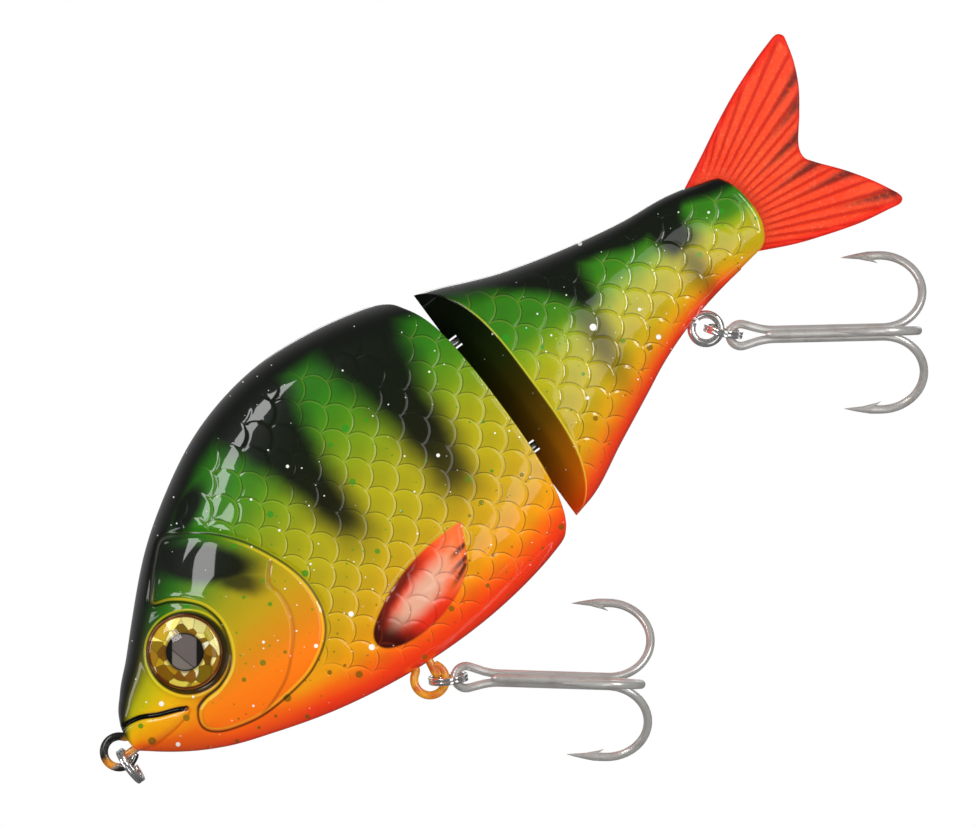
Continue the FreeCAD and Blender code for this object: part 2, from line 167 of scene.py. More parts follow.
FULLNESS = through([(-93.4, 2.4), (-65, 2.6), (-30, 3.1), (0, 3.5), (30, 3.3), (62.5, 5.0)])
LOBE_END = through([(-7, 56.5), (-6.5, 58), (-5.5, 59.5), (-4, 60.6), (-2.25, 61.4), (0, 61.85),
                    (2.5, 61.85), (5.5, 61.5), (8.25, 60.5), (10, 59), (10.75, 57), (12, 55)])
HOLLOW_DEPTH = 2.0
HOLLOW_BOW = 0.0192
# how far the rear face of the front section falls back towards its top and bottom corners
CORNER_FALL = through([(-29.4, 6.4), (-28.3, 3.0), (-26.8, 1.4), (-25.3, 0.75), (-22.5, 0.25), (-17, 0),
                       (14, 0), (19.5, 0.28), (22.4, 0.75), (25, 1.65), (27.4, 3.0), (28.7, 4.9),
                       (29.4, 6.4)])
BEVEL_SLOPE = 0.696
FRONT_ROWS, FRONT_COLUMNS = 300, 250
REAR_ROWS, REAR_COLUMNS = 220, 190


def hollow(y, z):
    """Station of the hollow rear face of the front section."""
    return -HOLLOW_DEPTH + HOLLOW_BOW * y ** 2 - CORNER_FALL(z)


def skin_places(count, height, width, power):
    """Places across a half section, -1 at the belly and 1 at the back, evenly spaced along the skin."""
    u = -np.cos(np.linspace(0, math.pi, 4000))
    y = width * np.sqrt(np.clip(1 - np.abs(u) ** power, 0, 1))
    run = np.concatenate([[0], np.cumsum(np.hypot(np.diff(u * height), np.diff(y)))])
    return np.interp(np.linspace(0, run[-1], count + 1), run, u)


def skin(x, u, top, bottom):
    """Points of the plain skin at station x and places u."""
    high, low = top(x), bottom(x)
    y = HALF_WIDTH(x) * np.sqrt(np.clip(1 - np.abs(u) ** FULLNESS(x), 0, 1))
    return np.stack([x, y, (high + low) / 2 + u * (high - low) / 2], axis=-1)


def settle(u, start, rule, top, bottom):
    """Station where the skin at each place u meets an end surface x = rule(y, z)."""
    x = np.full(u.shape, float(start))
    for _ in range(30):
        x = 0.5 * x + 0.5 * rule(*skin(x, u, top, bottom).T[1:])
    return x


def round_corner(before, corner, after, reach, rows):
    """Rows that round the corner between two rows of points."""
    def towards(row):
        arm = row - corner
        return corner + arm * np.minimum(1, reach / np.maximum(np.linalg.norm(arm, axis=1), 1e-6))[:, None]
    t = np.linspace(0, 1, rows)[:, None, None]
    return (1 - t) ** 2 * towards(before) + 2 * t * (1 - t) * corner + t ** 2 * towards(after)


def front_grid():
    """Rows of points over the front section: snout cap, skin, rounded rim and hollow rear face."""
    u = skin_places(FRONT_COLUMNS, 30.0, 13.0, 3.1)
    rim = settle(u, 0, hollow, FRONT_TOP, FRONT_BOTTOM)
    t = np.linspace(0, 1, FRONT_ROWS)
    body = [skin(NOSE_X + (rim - NOSE_X) * r, u, FRONT_TOP, FRONT_BOTTOM) for r in 0.55 * t + 0.45 * t ** 2]
    first = body[0]
    middle = (first[0, 2] + first[-1, 2]) / 2
    dome = 1 - ((first[:, 2] - middle) / (first[-1, 2] - middle)) ** 2
    cap = []
    for q in np.linspace(0, 1, 9)[:-1]:
        cap.append(np.stack([first[:, 0] - 0.5 * (1 - q ** 2) * dome, first[:, 1] * q, first[:, 2]], axis=-1))
    corner = body[-1]
    face = [np.stack([hollow(corner[:, 1] * q, corner[:, 2]), corner[:, 1] * q, corner[:, 2]], axis=-1)
            for q in np.linspace(1, 0, 26)]
    rounded = round_corner(body[-4], corner, face[2], 0.75, 7)
    return np.array(cap + body[:-3] + list(rounded) + face[2:])


def rear_grid():
    """Rows of points over the rear section: bevelled nose, rounded rim, skin, rounded end and end face."""
    u = skin_places(REAR_COLUMNS, 20.0, 10.0, 3.4)
    rim = settle(u, 6, lambda y, z: BEVEL_SLOPE * y, REAR_TOP, REAR_BOTTOM)
    end = settle(u, 60, lambda y, z: LOBE_END(z), REAR_TOP, REAR_BOTTOM)
    body = [skin(rim + (end - rim) * r, u, REAR_TOP, REAR_BOTTOM) for r in np.linspace(0, 1, REAR_ROWS)]
    corner = body[0]
    bevel = [np.stack([BEVEL_SLOPE * corner[:, 1] * q, corner[:, 1] * q, corner[:, 2]], axis=-1)
             for q in np.linspace(0, 1, 44)]
    tail = body[-1]
    face = [tail * (1, q, 1) for q in np.linspace(1, 0, 14)]
    front_round = round_corner(bevel[-3], corner, body[2], 0.45, 7)
    end_round = round_corner(body[-6], tail, face[4], 1.3, 9)
    return np.array(bevel[:-2] + list(front_round) + body[3:-5] + list(end_round) + face[4:])


def grid_normals(grid):
    n = np.cross(np.gradient(grid, axis=1), np.gradient(grid, axis=0))
    n = n / np.maximum(np.linalg.norm(n, axis=-1, keepdims=True), 1e-9)
    return np.where(n[..., 1:2] < 0, -n, n)


# ---- relief

SCALE_R = 3.45
FRONT_SCALES = ((-22.0, -1.7), math.radians(1.9))
REAR_SCALES = ((15.1, -4.1), 0.0)
SCALE_RISE = 0.13
SCALE_LIP = 0.07
EYE_AT = (-74.8, -2.6)
EYE_R = 7.2
EYE_TILT_DEG = 12
EYE_ROOM = 0.22
SOCKET_AT = (-74.45, -3.1)
SOCKET_R = 7.95
SOCKET_DEPTH = 0.25
PLATE_RISE = 0.62
MOUTH_END = -80.6
GILL_LINE = curve([(-65.7, 17.1), (-61.9, 15.5), (-57.6, 12.3), (-53.8, 7.9), (-51, 2.8), (-49.1, -2.4),
                   (-48.5, -7.2), (-49.3, -12), (-51.8, -16), (-56.2, -18.9), (-61, -20.3), (-69.5, -20.9),
                   (-75.7, -19.7), (-79.2, -18), (-80.5, -15.8), (-79.4, -13.2), (-77, -12.1), (-73.2, -11.8),
                   (-69.5, -10.1), (-67, -6.8), (-65.8, -2.3), (-66.5, 1.7), (-68.6, 4.6), (-71.4, 6.8),
                   (-74.6, 8.3), (-72.8, 10.8), (-69.3, 14.4)], closed=True)
FLAP_LINE = curve([(-51.3, 1.6), (-54, -1.5), (-53.6, -4.5), (-54.1, -8.3), (-55.8, -11.7), (-58.8, -15),
                   (-62.4, -18), (-67, -20), (-70, -20.7)])
MOUTH_LINE = curve([(-93.9, -6.9), (-91.5, -7.0), (-89, -7.6), (-86.1, -9.1), (-82.8, -10.4), (-80.9, -11.3)])
JAW_LINE = curve([(-80.9, -11.3), (-80.8, -12.1), (-82, -12.7), (-85.7, -13.3), (-90.5, -13.4),
                  (-93.8, -12.9)])
FIN_LINE = curve([(-44.7, -22.6), (-43, -19.9), (-37.3, -16.7), (-31, -14.6), (-24.7, -13.7), (-18.6, -13.7),
                  (-18.9, -15.3), (-20.9, -19.2), (-22.4, -21.3), (-26, -24), (-32.5, -26.1), (-39, -26.3),
                  (-43.4, -24.9)], closed=True)


def scale_relief(x, z, lattice):
    """Height of the scales: each rises to its round free edge and drops to the next one."""
    (cx, cz), turn = lattice
    px = ((x - cx) * math.cos(turn) + (z - cz) * math.sin(turn)) / SCALE_R
    pz = (-(x - cx) * math.sin(turn) + (z - cz) * math.cos(turn)) / SCALE_R
    column = np.floor(px)
    a = px - column
    odd = np.mod(column, 2)
    b = np.abs(pz - odd - 2 * np.round((pz - odd) / 2))
    reach = np.sqrt(a * a + b * b)
    edge = (reach - 1) * SCALE_R
    crown = np.where(reach <= 1, 0.5 + 0.5 * a, 0.5 * a) * SCALE_RISE
    lip = ease(-0.34, 0.0, edge) * SCALE_LIP
    return np.where(edge <= 0, crown - lip, crown - 0.04 * np.exp(-(edge / 0.3) ** 2))


def groove(d, width, depth):
    return -depth * np.exp(-(d / width) ** 2)


def front_relief(x, z):
    """Height of scales, gill plate, flap, lips, eye socket and breast fin over the plain front skin."""
    gill = signed(GILL_LINE, x, z)
    mouth = distance(MOUTH_LINE, x, z)
    jaw = distance(JAW_LINE, x, z)
    fin = signed(FIN_LINE, x, z)
    eye = np.hypot(x - SOCKET_AT[0], z - SOCKET_AT[1])
    back = FRONT_TOP(x) - z
    belly = z - FRONT_BOTTOM(x)
    scaly = ease(0.3, 1.6, gill) * ease(-64, -58, x + 0.35 * z) * ease(3.5, 9.0, back) * ease(2.0, 8.0, belly)
    scaly = scaly * ease(0.4, 1.2, 1.0 - CORNER_FALL(z) - x)
    plate = 1 - ease(-1.1, 0.15, gill)
    h = scale_relief(x, z, FRONT_SCALES) * scaly * (1 - plate) + PLATE_RISE * plate
    h += groove(gill - 0.35, 0.45, 0.22)
    h -= 0.28 * plate * ease(-1.0, 0.2, flap_side(x, z))
    h += groove(distance(FLAP_LINE, x, z), 0.28, 0.14) * plate
    h -= groove(gill + 0.55, 0.5, 0.28) * ease(-62, -66, x) * ease(-14, -10, z)
    h += groove(mouth, 0.42, 0.75) * ease(MOUTH_END, -82.5, x)
    h += 0.45 * ease(0, 1.4, np.minimum(mouth, jaw)) * in_lip(x, z)
    h += groove(jaw, 0.35, 0.22)
    socket = 1 - ease(SOCKET_R - 0.7, SOCKET_R, eye)
    h = h * (1 - socket) - 0.95 * socket
    h -= groove(eye - SOCKET_R - 0.35, 0.4, 0.22)
    h += 0.22 * (1 - ease(-0.8, 0.1, fin))
    h += groove(fin - 0.2, 0.3, 0.12)
    return h


def flap_side(x, z):
    """Distance behind the inner gill line, positive towards the tail."""
    xs, zs = FLAP_LINE[np.argsort(FLAP_LINE[:, 1])].T
    return x - np.interp(z, zs, xs, left=xs[0] - 60, right=xs[-1] + 1.0)


def in_lip(x, z):
    """1 between the mouth line and the lower edge of the lip, else 0."""
    upper, lower = [np.interp(x, *line[np.argsort(line[:, 0])].T) for line in (MOUTH_LINE, JAW_LINE)]
    return ((z < upper) & (z > lower) & (x < -80.8)).astype(float)


# ---- mesh helpers

def new_object(name, vertices, faces):
    """Object with vertices given in the lure's axes."""
    mesh = bpy.data.meshes.new(name)
    mesh.from_pydata([tuple(v) for v in to_row(vertices)], [], [tuple(int(i) for i in f) for f in faces])
    mesh.update()
    obj = bpy.data.objects.new(name, mesh)
    bpy.context.scene.collection.objects.link(obj)
    return obj


def grid_faces(rows, columns, wrap=False):
    """Quads between neighbouring rows of points."""
    faces = []
    for i in range(rows - 1):
        here, there = i * columns, (i + 1) * columns
        for j in range(columns if wrap else columns - 1):
            k = (j + 1) % columns
            faces.append((here + j, here + k, there + k, there + j))
    return faces


def tube(name, vertices, rows, columns):
    """Closed tube over rows of points, with a flat cap on each end."""
    faces = grid_faces(rows, columns, wrap=True)
    last = (rows - 1) * columns
    faces.append(tuple(range(columns)))
    faces.append(tuple(range(last + columns - 1, last - 1, -1)))
    return clean(new_object(name, vertices, faces))


def clean(obj, close=False, merge=1e-6):
    """Welds doubles, closes an open rim if asked and turns all faces outwards."""
    bm = bmesh.new()
    bm.from_mesh(obj.data)
    bmesh.ops.remove_doubles(bm, verts=bm.verts, dist=merge)
    bmesh.ops.dissolve_degenerate(bm, edges=bm.edges, dist=1e-9)
    if close:
        rim = [e for e in bm.edges if e.is_boundary]
        bmesh.ops.triangle_fill(bm, use_beauty=True, use_dissolve=False, edges=rim)
    bmesh.ops.recalc_face_normals(bm, faces=bm.faces)
    bm.to_mesh(obj.data)
    bm.free()
    return obj


def carve(obj, tools, operation="DIFFERENCE"):
    """Cuts tools out of obj, or joins them to it, and removes the tools."""
    for tool in tools:
        cut = obj.modifiers.new("carve", "BOOLEAN")
        cut.operation = operation
        cut.solver = "MANIFOLD"
        cut.object = tool
        graph = bpy.context.evaluated_depsgraph_get()
        plain = obj.data
        obj.data = bpy.data.meshes.new_from_object(obj.evaluated_get(graph))
        obj.modifiers.clear()
        bpy.data.meshes.remove(plain)
        bpy.data.objects.remove(tool)
    return obj


def lathe(name, profile, sides, centre, axis):
    """Closed solid turned from (radius, height) points about an axis."""
    z = Vector(axis).normalized()
    x = z.orthogonal().normalized()
    y = z.cross(x)
    verts = []
    for r, h in profile:
        for k in range(sides):
            a = 2 * math.pi * k / sides
            verts.append(Vector(centre) + x * (r * math.cos(a)) + y * (r * math.sin(a)) + z * h)
    return tube(name, verts, len(profile), sides)


def sweep(name, path, radius, sides, flat=None, up=None):
    """Wire along a path. radius is a number or one per point; flat and up give it a squared-off section."""
    p = np.array(path, float)
    tangent = np.gradient(p, axis=0)
    tangent /= np.linalg.norm(tangent, axis=1, keepdims=True)
    radii = np.broadcast_to(radius, len(p))
    side = np.zeros_like(p)
    previous = np.array(Vector(tangent[0]).orthogonal().normalized())
    for k, t in enumerate(tangent):
        s = previous - t * (previous @ t) if up is None else np.cross(t, up)
        side[k] = s / np.linalg.norm(s)
        previous = side[k]
    other = np.cross(tangent, side)
    verts = []
    for k in range(len(p)):
        for j in range(sides):
            a = 2 * math.pi * (j + 0.5) / sides
            c, s = math.cos(a), math.sin(a)
            wide, tall = radii[k] * c, radii[k] * s
            if flat:
                wide = flat[0] * math.copysign(abs(c) ** 0.45, c)
                tall = flat[1] * math.copysign(abs(s) ** 0.45, s)
            verts.append(p[k] + side[k] * wide + other[k] * tall)
    return tube(name, verts, len(p), sides)


def prism_tool(outline, z0, z1):
    """Upright prism over an outline of (x, y) points."""
    return tube("tool", [(x, y, z) for z in (z0, z1) for x, y in outline], 2, len(outline))


def attributes(obj, **values):
    for name, value in values.items():
        layer = obj.data.attributes.new(name, "FLOAT", "POINT")
        layer.data.foreach_set("value", np.asarray(value, np.float32))


def places(obj):
    """Arrays of x, y and z of an object's vertices in the lure's axes."""
    co = np.empty(len(obj.data.vertices) * 3)
    obj.data.vertices.foreach_get("co", co)
    co = co.reshape(-1, 3) / MM
    return co[:, 0] - EDGE_X, co[:, 1], co[:, 2] - EDGE_Z


def finish_piece(obj, mat, sharp_degrees, body, cad_node):
    """Gives a piece its material and shading, hides the CAD node it stands for and ties it to its body."""
    obj.data.materials.clear()
    obj.data.materials.append(mat)
    obj.data.shade_smooth()
    obj.data.set_sharp_from_angle(angle=math.radians(sharp_degrees))
    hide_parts(cad_node)
    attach(obj, body)


# ---- node expressions

class Value:
    """A node socket that takes part in arithmetic, so that a material reads like a formula."""

    tree = None
    __add__ = __radd__ = lambda self, other: maths("ADD", self, other)
    __mul__ = __rmul__ = lambda self, other: maths("MULTIPLY", self, other)
    __sub__ = lambda self, other: maths("SUBTRACT", self, other)
    __rsub__ = lambda self, other: maths("SUBTRACT", other, self)
    __truediv__ = lambda self, other: maths("DIVIDE", self, other)

    def __init__(self, socket):
        self.socket = socket


def link(source, target):
    Value.tree.links.new(source, target)


def plug(target, value):
    if isinstance(value, Value):
        link(value.socket, target)
    elif isinstance(value, tuple) and len(value) == 3 and len(target.default_value) == 4:
        target.default_value = (*value, 1.0)
    else:
        target.default_value = value


def surface(inputs, **values):
    """Sets inputs by name, with _ for a space."""
    for name, value in values.items():
        plug(inputs[name.replace("_", " ")], value)


def node(kind, **settings):
    made = Value.tree.nodes.new("ShaderNode" + kind)
    for key, value in settings.items():
        setattr(made, key, value)
    return made


def maths(operation, *values, clamp=False):
    made = node("Math", operation=operation, use_clamp=clamp)
    for socket, value in zip(made.inputs, values):
        plug(socket, value)
    return Value(made.outputs[0])


def vectors(operation, a, b=None):
    made = node("VectorMath", operation=operation)
    plug(made.inputs[0], a)
    if b is not None:
        plug(made.inputs["Scale" if operation == "SCALE" else 1], b)
    return Value(made.outputs[0])


def step(low, high, value):
    """0 below low and 1 above high, eased between. low may be above high."""
    made = node("MapRange", interpolation_type="SMOOTHSTEP")
    falls = low > high
    surface(made.inputs, Value=value, From_Min=min(low, high), From_Max=max(low, high),
            To_Min=float(falls), To_Max=float(not falls))
    return Value(made.outputs["Result"])


def band(value, start, rise, fall, end):
    """1 from rise to fall, and 0 before start and after end."""
    return step(start, rise, value) * step(end, fall, value)


def absolute(value):
    return maths("ABSOLUTE", value)


def root(value):
    return maths("SQRT", value)


def length(a, b):
    return root(a * a + b * b)


def largest(first, *others):
    for value in others:
        first = maths("MAXIMUM", first, value)
    return first


def read(name):
    return Value(node("Attribute", attribute_name=name).outputs["Fac"])


def channels(kind, socket):
    """The three parts of a Color or XYZ socket."""
    made = node("Separate" + kind)
    link(socket, made.inputs[0])
    return [Value(part) for part in made.outputs]


def join(x, y, z):
    made = node("CombineXYZ")
    for socket, value in zip(made.inputs, (x, y, z)):
        plug(socket, value)
    return Value(made.outputs[0])


def rgb(r, g, b):
    """Linear colour of an 8-bit screen colour."""
    return tuple(c / 12.92 if c <= 0.04045 else ((c + 0.055) / 1.055) ** 2.4
                 for c in (r / 255, g / 255, b / 255))


def tint(colour):
    """A colour socket, or the linear colour of an 8-bit one."""
    return colour if isinstance(colour, Value) else rgb(*colour)


def mix(factor, a, b):
    made = node("Mix", data_type="RGBA", blend_type="MIX")
    plug(made.inputs[0], factor)
    plug(made.inputs[6], tint(a))
    plug(made.inputs[7], tint(b))
    return Value(made.outputs[2])


class Paint:
    """Colour put on in layers."""

    def __init__(self, colour):
        self.colour = colour

    def spray(self, factor, colour):
        self.colour = mix(factor, self.colour, colour)


def ramp(value, stops):
    """Colour that changes along value, 0 to 1, through the stops."""
    made = node("ValToRGB")
    plug(made.inputs[0], value)
    elements = made.color_ramp.elements
    elements[0].position, elements[1].position = stops[0][0], stops[-1][0]
    for place, _ in stops[1:-1]:
        elements.new(place)
    for element, (_, colour) in zip(elements, stops):
        element.color = (*rgb(*colour), 1)
    return Value(made.outputs[0])


def object_place():
    """x and z in the lure's axes, and the place in metres."""
    where = node("TexCoord").outputs["Object"]
    x, _, z = channels("XYZ", where)
    return (maths("MULTIPLY_ADD", x, 1 / MM, -EDGE_X), maths("MULTIPLY_ADD", z, 1 / MM, -EDGE_Z),
            Value(where))


def noise(where, size_mm, detail=2.0, shift=0.0):
    """Noise from -1 to 1 whose patches are about size_mm across."""
    made = node("TexNoise", noise_dimensions="4D")
    surface(made.inputs, Vector=where, W=shift, Scale=1 / (size_mm * MM), Detail=detail, Roughness=0.5)
    return maths("MULTIPLY_ADD", Value(made.outputs["Fac"]), 2.0, -1.0)


def cells(vector, dimensions, randomness=1.0, **settings):
    made = node("TexVoronoi", voronoi_dimensions=dimensions, **settings)
    surface(made.inputs, Vector=vector, Scale=1.0, Randomness=randomness)
    return made.outputs


def specks(x, z, pitch, low, high, chance, shift):
    """Round spots in the side view: their radius runs from low to high and chance of the cells have one."""
    found = cells(join(x / pitch + shift * 17.3, z / pitch - shift * 9.1, 0.0), "2D", 0.9)
    luck, share, _ = channels("Color", found["Color"])
    size = maths("POWER", share, 2.6) * (high - low) + low
    gap = Value(found["Distance"]) * pitch
    return step(1 - chance - 0.001, 1 - chance, luck) * step(0.06, -0.06, gap - size)


def stroke(x, z, start, end, width, soft):
    """Soft line from start to end: 1 on it, 0 outside; and the place along it."""
    dx, dz = end[0] - start[0], end[1] - start[1]
    t = maths("MULTIPLY", (x - start[0]) * dx + (z - start[1]) * dz, 1 / (dx * dx + dz * dz), clamp=True)
    gap = length(x - start[0] - t * dx, z - start[1] - t * dz)
    return step(width + soft, width - soft, gap), t


def blotch(x, z, centre, size, soft, lean=0.0):
    """Soft ellipse, 1 inside and 0 outside."""
    px = x - centre[0] - (z - centre[1]) * lean
    pz = z - centre[1]
    return step(1 + soft, 1 - soft, length(px / size[0], pz / size[1]))


def material(name):
    made = bpy.data.materials.new(name)
    made.use_nodes = True
    Value.tree = made.node_tree
    Value.tree.nodes.clear()
    out = node("OutputMaterial")
    shader = node("BsdfPrincipled")
    link(shader.outputs[0], out.inputs[0])
    return made, shader.inputs, out


def bump(height, distance_mm, strength, normal=None):
    made = node("Bump")
    surface(made.inputs, Height=height, Distance=distance_mm * MM, Strength=strength)
    if normal:
        plug(made.inputs["Normal"], normal)
    return Value(made.outputs[0])


# ---- paint

FRONT_SIDE = [(0.0, (236, 40, 3)), (0.045, (240, 58, 2)), (0.085, (238, 100, 2)), (0.13, (228, 144, 2)),
              (0.22, (202, 152, 5)), (0.36, (176, 154, 6)), (0.46, (166, 156, 6)), (0.55, (148, 150, 6)),
              (0.63, (118, 144, 8)), (0.72, (74, 128, 8)), (0.80, (44, 114, 9)), (0.90, (34, 102, 9)),
              (0.96, (18, 62, 6)), (1.0, (8, 12, 4))]
CHEEK_SIDE = [(0.0, (236, 44, 3)), (0.06, (240, 82, 2)), (0.14, (238, 108, 2)), (0.25, (234, 118, 2)),
              (0.33, (206, 126, 2)), (0.44, (178, 144, 4)), (0.55, (150, 142, 6)), (0.65, (92, 126, 8)),
              (0.78, (36, 98, 8)), (0.90, (12, 34, 5)), (1.0, (8, 12, 4))]
SNOUT_SIDE = [(0.0, (222, 72, 2)), (0.16, (226, 92, 2)), (0.30, (230, 146, 3)), (0.46, (226, 170, 5)),
              (0.60, (192, 174, 8)), (0.70, (168, 164, 9)), (0.80, (104, 104, 9)), (0.87, (44, 40, 7)),
              (0.93, (12, 14, 5)), (1.0, (8, 10, 4))]
REAR_SIDE = [(0.0, (236, 38, 5)), (0.04, (234, 62, 6)), (0.09, (222, 110, 6)), (0.15, (206, 146, 7)),
             (0.24, (180, 152, 6)), (0.38, (170, 158, 8)), (0.50, (162, 160, 8)), (0.58, (128, 152, 9)),
             (0.66, (72, 128, 11)), (0.75, (48, 114, 11)), (0.87, (44, 112, 11)), (0.94, (20, 66, 7)),
             (1.0, (8, 12, 5))]
# the faces where the sections meet: the body's overspray darkened as painted shade, black at the top
BEVEL_SHADED_OVERSPRAY = [(0.0, (232, 62, 6)), (0.08, (200, 92, 8)), (0.20, (158, 92, 8)), (0.34, (104, 72, 8)),
              (0.50, (62, 52, 8)), (0.65, (32, 44, 9)), (0.80, (16, 26, 8)), (1.0, (8, 10, 6))]
BLACK = (9, 11, 7)
# colour of the painted shadow and shade on the scales
SCALE_SHADE = (14, 20, 6)


def ink_bars(x, z, wobble):
    """Dark bars and blotches over the side."""
    def bar(top, low, top_half, low_half, soft, fade):
        """Bar from top to low: its half-width changes on the way, and it fades out below low."""
        t = maths("MULTIPLY", z - low[1], 1 / (top[1] - low[1]), clamp=True)
        half = t * t * (top_half - low_half) + low_half
        gap = absolute(x + wobble * 0.5 - (t * (top[0] - low[0]) + low[0]))
        return step(1.0, -1.0, (gap - half) / soft) * step(low[1] - fade, low[1] + fade, z + wobble * 0.5)
    low_fade = 1.0 - step(4.0, -6.0, z + wobble * 0.6) * 0.08
    first = bar((-38.2, 26.0), (-34.8, -5.5), 9.4, 3.2, 3.0, 5.0) * low_fade
    second = bar((-13.2, 25.0), (-13.8, -9.5), 9.0, 3.9, 3.2, 5.0) * low_fade
    plate = blotch(x + wobble * 0.3, z, (-62.0, 8.8), (5.4, 7.4), 0.34, -0.885)
    cheek = blotch(x + wobble * 0.4, z + wobble * 0.4, (-58.6, 2.6), (3.0, 4.2), 0.6, -0.5) * 0.88
    neck = blotch(x, z + wobble * 0.4, (-58.6, 18.6), (4.0, 3.6), 0.4, 0.9)
    rear = bar((23.2, 16.5), (26.4, 3.6), 9.2, 2.4, 2.2, 2.6)
    rear_low = blotch(x + wobble * 0.4, z, (23.6, -0.5), (2.9, 9.0), 0.8, 0.12) * 0.75
    stump = bar((45.6, 12.0), (46.8, 1.8), 5.4, 3.2, 2.0, 2.2)
    stump_low = blotch(x + wobble * 0.3, z, (46.0, -2.0), (2.2, 5.6), 0.9, 0.1) * 0.65
    return largest(first, second, plate, cheek, neck, rear, rear_low, stump, stump_low)


def paint_material(name, rear):
    """Airbrushed paint under a clear coat, with painted shade and painted highlights, for the front or the
    rear section.
    """
    made, shader, _ = material(name)
    x, z, where = object_place()
    back = read("back")
    scaly = read("scaly")
    edge, scale_height, depth = scale_nodes(x, z, REAR_SCALES if rear else FRONT_SCALES)
    wobble = noise(where, 8.0, 3.0) * 3.2
    fine = noise(where, 2.2, shift=3.0)
    level = read("rise") + noise(where, 14.0, 1.0, shift=1.0) * 0.02
    if rear:
        coat = Paint(ramp(level + step(47.0, 58.0, x) * 0.13, REAR_SIDE))
        saddle = step(10.0, 18.0, x) * 2.6 + step(32.0, 40.0, x) * 1.2 - step(48.0, 52.0, x) * 3.0 - 1.4
        spine = step(4.6, 1.8, back + wobble * 0.3 - saddle)
    else:
        coat = Paint(ramp(level, FRONT_SIDE))
        coat.spray(largest(read("plate"), step(-60.0, -70.0, x)), ramp(level, CHEEK_SIDE))
        coat.spray(step(-75.0, -84.0, x + fine), ramp(level, SNOUT_SIDE))
        spine = step(6.4, 3.0, back + wobble * 0.4 + step(-58.0, -80.0, x) * 1.6)
    dark = largest(ink_bars(x, z, wobble + fine * 0.5), spine)
    coat.spray(dark * 0.98, BLACK)
    # scales: painted shadow behind each free edge, a painted highlight on its lip
    coat.spray(band(edge, -0.03, 0.03, 0.04, 0.30) * scaly * 0.62, SCALE_SHADE)
    coat.spray(band(edge, -0.42, -0.12, -0.06, 0.0) * scaly * (1.0 - dark) * 0.06, (255, 236, 120))
    # painted shade, deeper towards each scale's covered base
    coat.spray(step(0.5, 3.0, depth) * scaly * 0.13, SCALE_SHADE)
    # spatter: green and brown on the flank, white everywhere
    green = largest(specks(x, z, 4.3, 0.14, 0.78, 0.42, 3.1), specks(x, z, 1.9, 0.05, 0.22, 0.34, 9.7))
    white = largest(specks(x, z, 7.8, 0.15, 0.66, 0.34, 5.3), specks(x, z, 3.3, 0.06, 0.17, 0.26, 7.9))
    spot = mix(step(0.36, 0.22, level), (36, 132, 20), (112, 84, 4))
    coat.spray(green * step(0.86, 0.70, level) * (1.0 - dark) * 0.82, spot)
    if rear:
        # the bevelled nose: overspray colours darkened as painted shade
        coat.spray(read("face"), ramp(level, BEVEL_SHADED_OVERSPRAY))
        rim_line = band(read("rim"), 0.10, 0.22, 0.34, 0.52)
        coat.spray(rim_line * step(0.97, 0.80, level) * 0.65, (196, 188, 50))
        # the insides of the hinge rooms and tail slot: dark brown painted shade
        coat.spray(read("slot"), (26, 14, 8))
    else:
        paint_fin(coat, x, z, fine, edge, scaly)
        paint_head(coat, z, dark)
        # the hollow rear face: the shaded bevel colours darkened further as painted shade between the
        # sections
        coat.spray(read("face"), mix(0.6, ramp(level, BEVEL_SHADED_OVERSPRAY), (14, 16, 8)))
    coat.spray(white * 0.93, (236, 236, 228))
    relief = scale_height * scaly
    grain = bump(noise(where, 0.25, shift=4.0), 0.006, 0.5, bump(relief, 1.0, 0.7))
    peel = bump(noise(where, 5.0, 1.0, shift=6.0), 0.03, 0.4, bump(relief, 1.0, 0.4))
    surface(shader, Base_Color=coat.colour, Metallic=0.0, Roughness=maths("MULTIPLY_ADD", fine, 0.05, 0.34),
            Specular_IOR_Level=0.12, Coat_Weight=1.0, Coat_IOR=1.52, Normal=grain, Coat_Normal=peel,
            Coat_Roughness=maths("MULTIPLY_ADD", noise(where, 30.0, shift=8.0), 0.012, 0.035))
    return made


def paint_head(coat, z, dark):
    """Lines, painted highlights and painted shadows of the gill plate, mouth and eye socket."""
    gill, eye = read("gill"), read("eye")
    # dark line just outside the gill plate: partly a painted line, partly painted shadow under its raised
    # edge
    coat.spray(band(gill, -0.15, 0.05, 0.20, 0.50) * 0.80, (30, 26, 4))
    # painted highlight along the rounded edge of the raised gill plate, low down
    plate_highlight = band(gill, -0.75, -0.5, -0.3, -0.12) * (1.0 - dark * 0.85) * step(12.0, 4.0, z)
    coat.spray(plate_highlight * 0.38, (255, 206, 40))
    coat.spray(step(0.42, 0.1, read("flap")) * read("plate") * 0.45, (150, 70, 4))
    coat.spray(step(0.62, 0.38, read("mouth")), BLACK)
    coat.spray(step(0.35, 0.1, read("jaw")) * 0.5, (200, 70, 8))
    # painted shadow in the groove round the eye
    coat.spray(step(0.12, -0.25, eye - SOCKET_R) * 0.95, (12, 12, 3))
    coat.spray(band(eye - SOCKET_R, 0.02, 0.18, 0.36, 0.58) * 0.55 * (1.0 - dark), (206, 186, 20))
    orbit = step(11.4, 10.2, eye)
    # painted highlight on the gill plate's ridge by the eye, and painted shadow outside it below
    coat.spray(band(gill, -0.85, -0.55, -0.30, -0.05) * orbit * 0.60, (226, 204, 44))
    coat.spray(band(gill, -0.08, 0.05, 0.35, 0.75) * orbit * step(4.0, -4.0, z) * 0.75, (24, 20, 3))


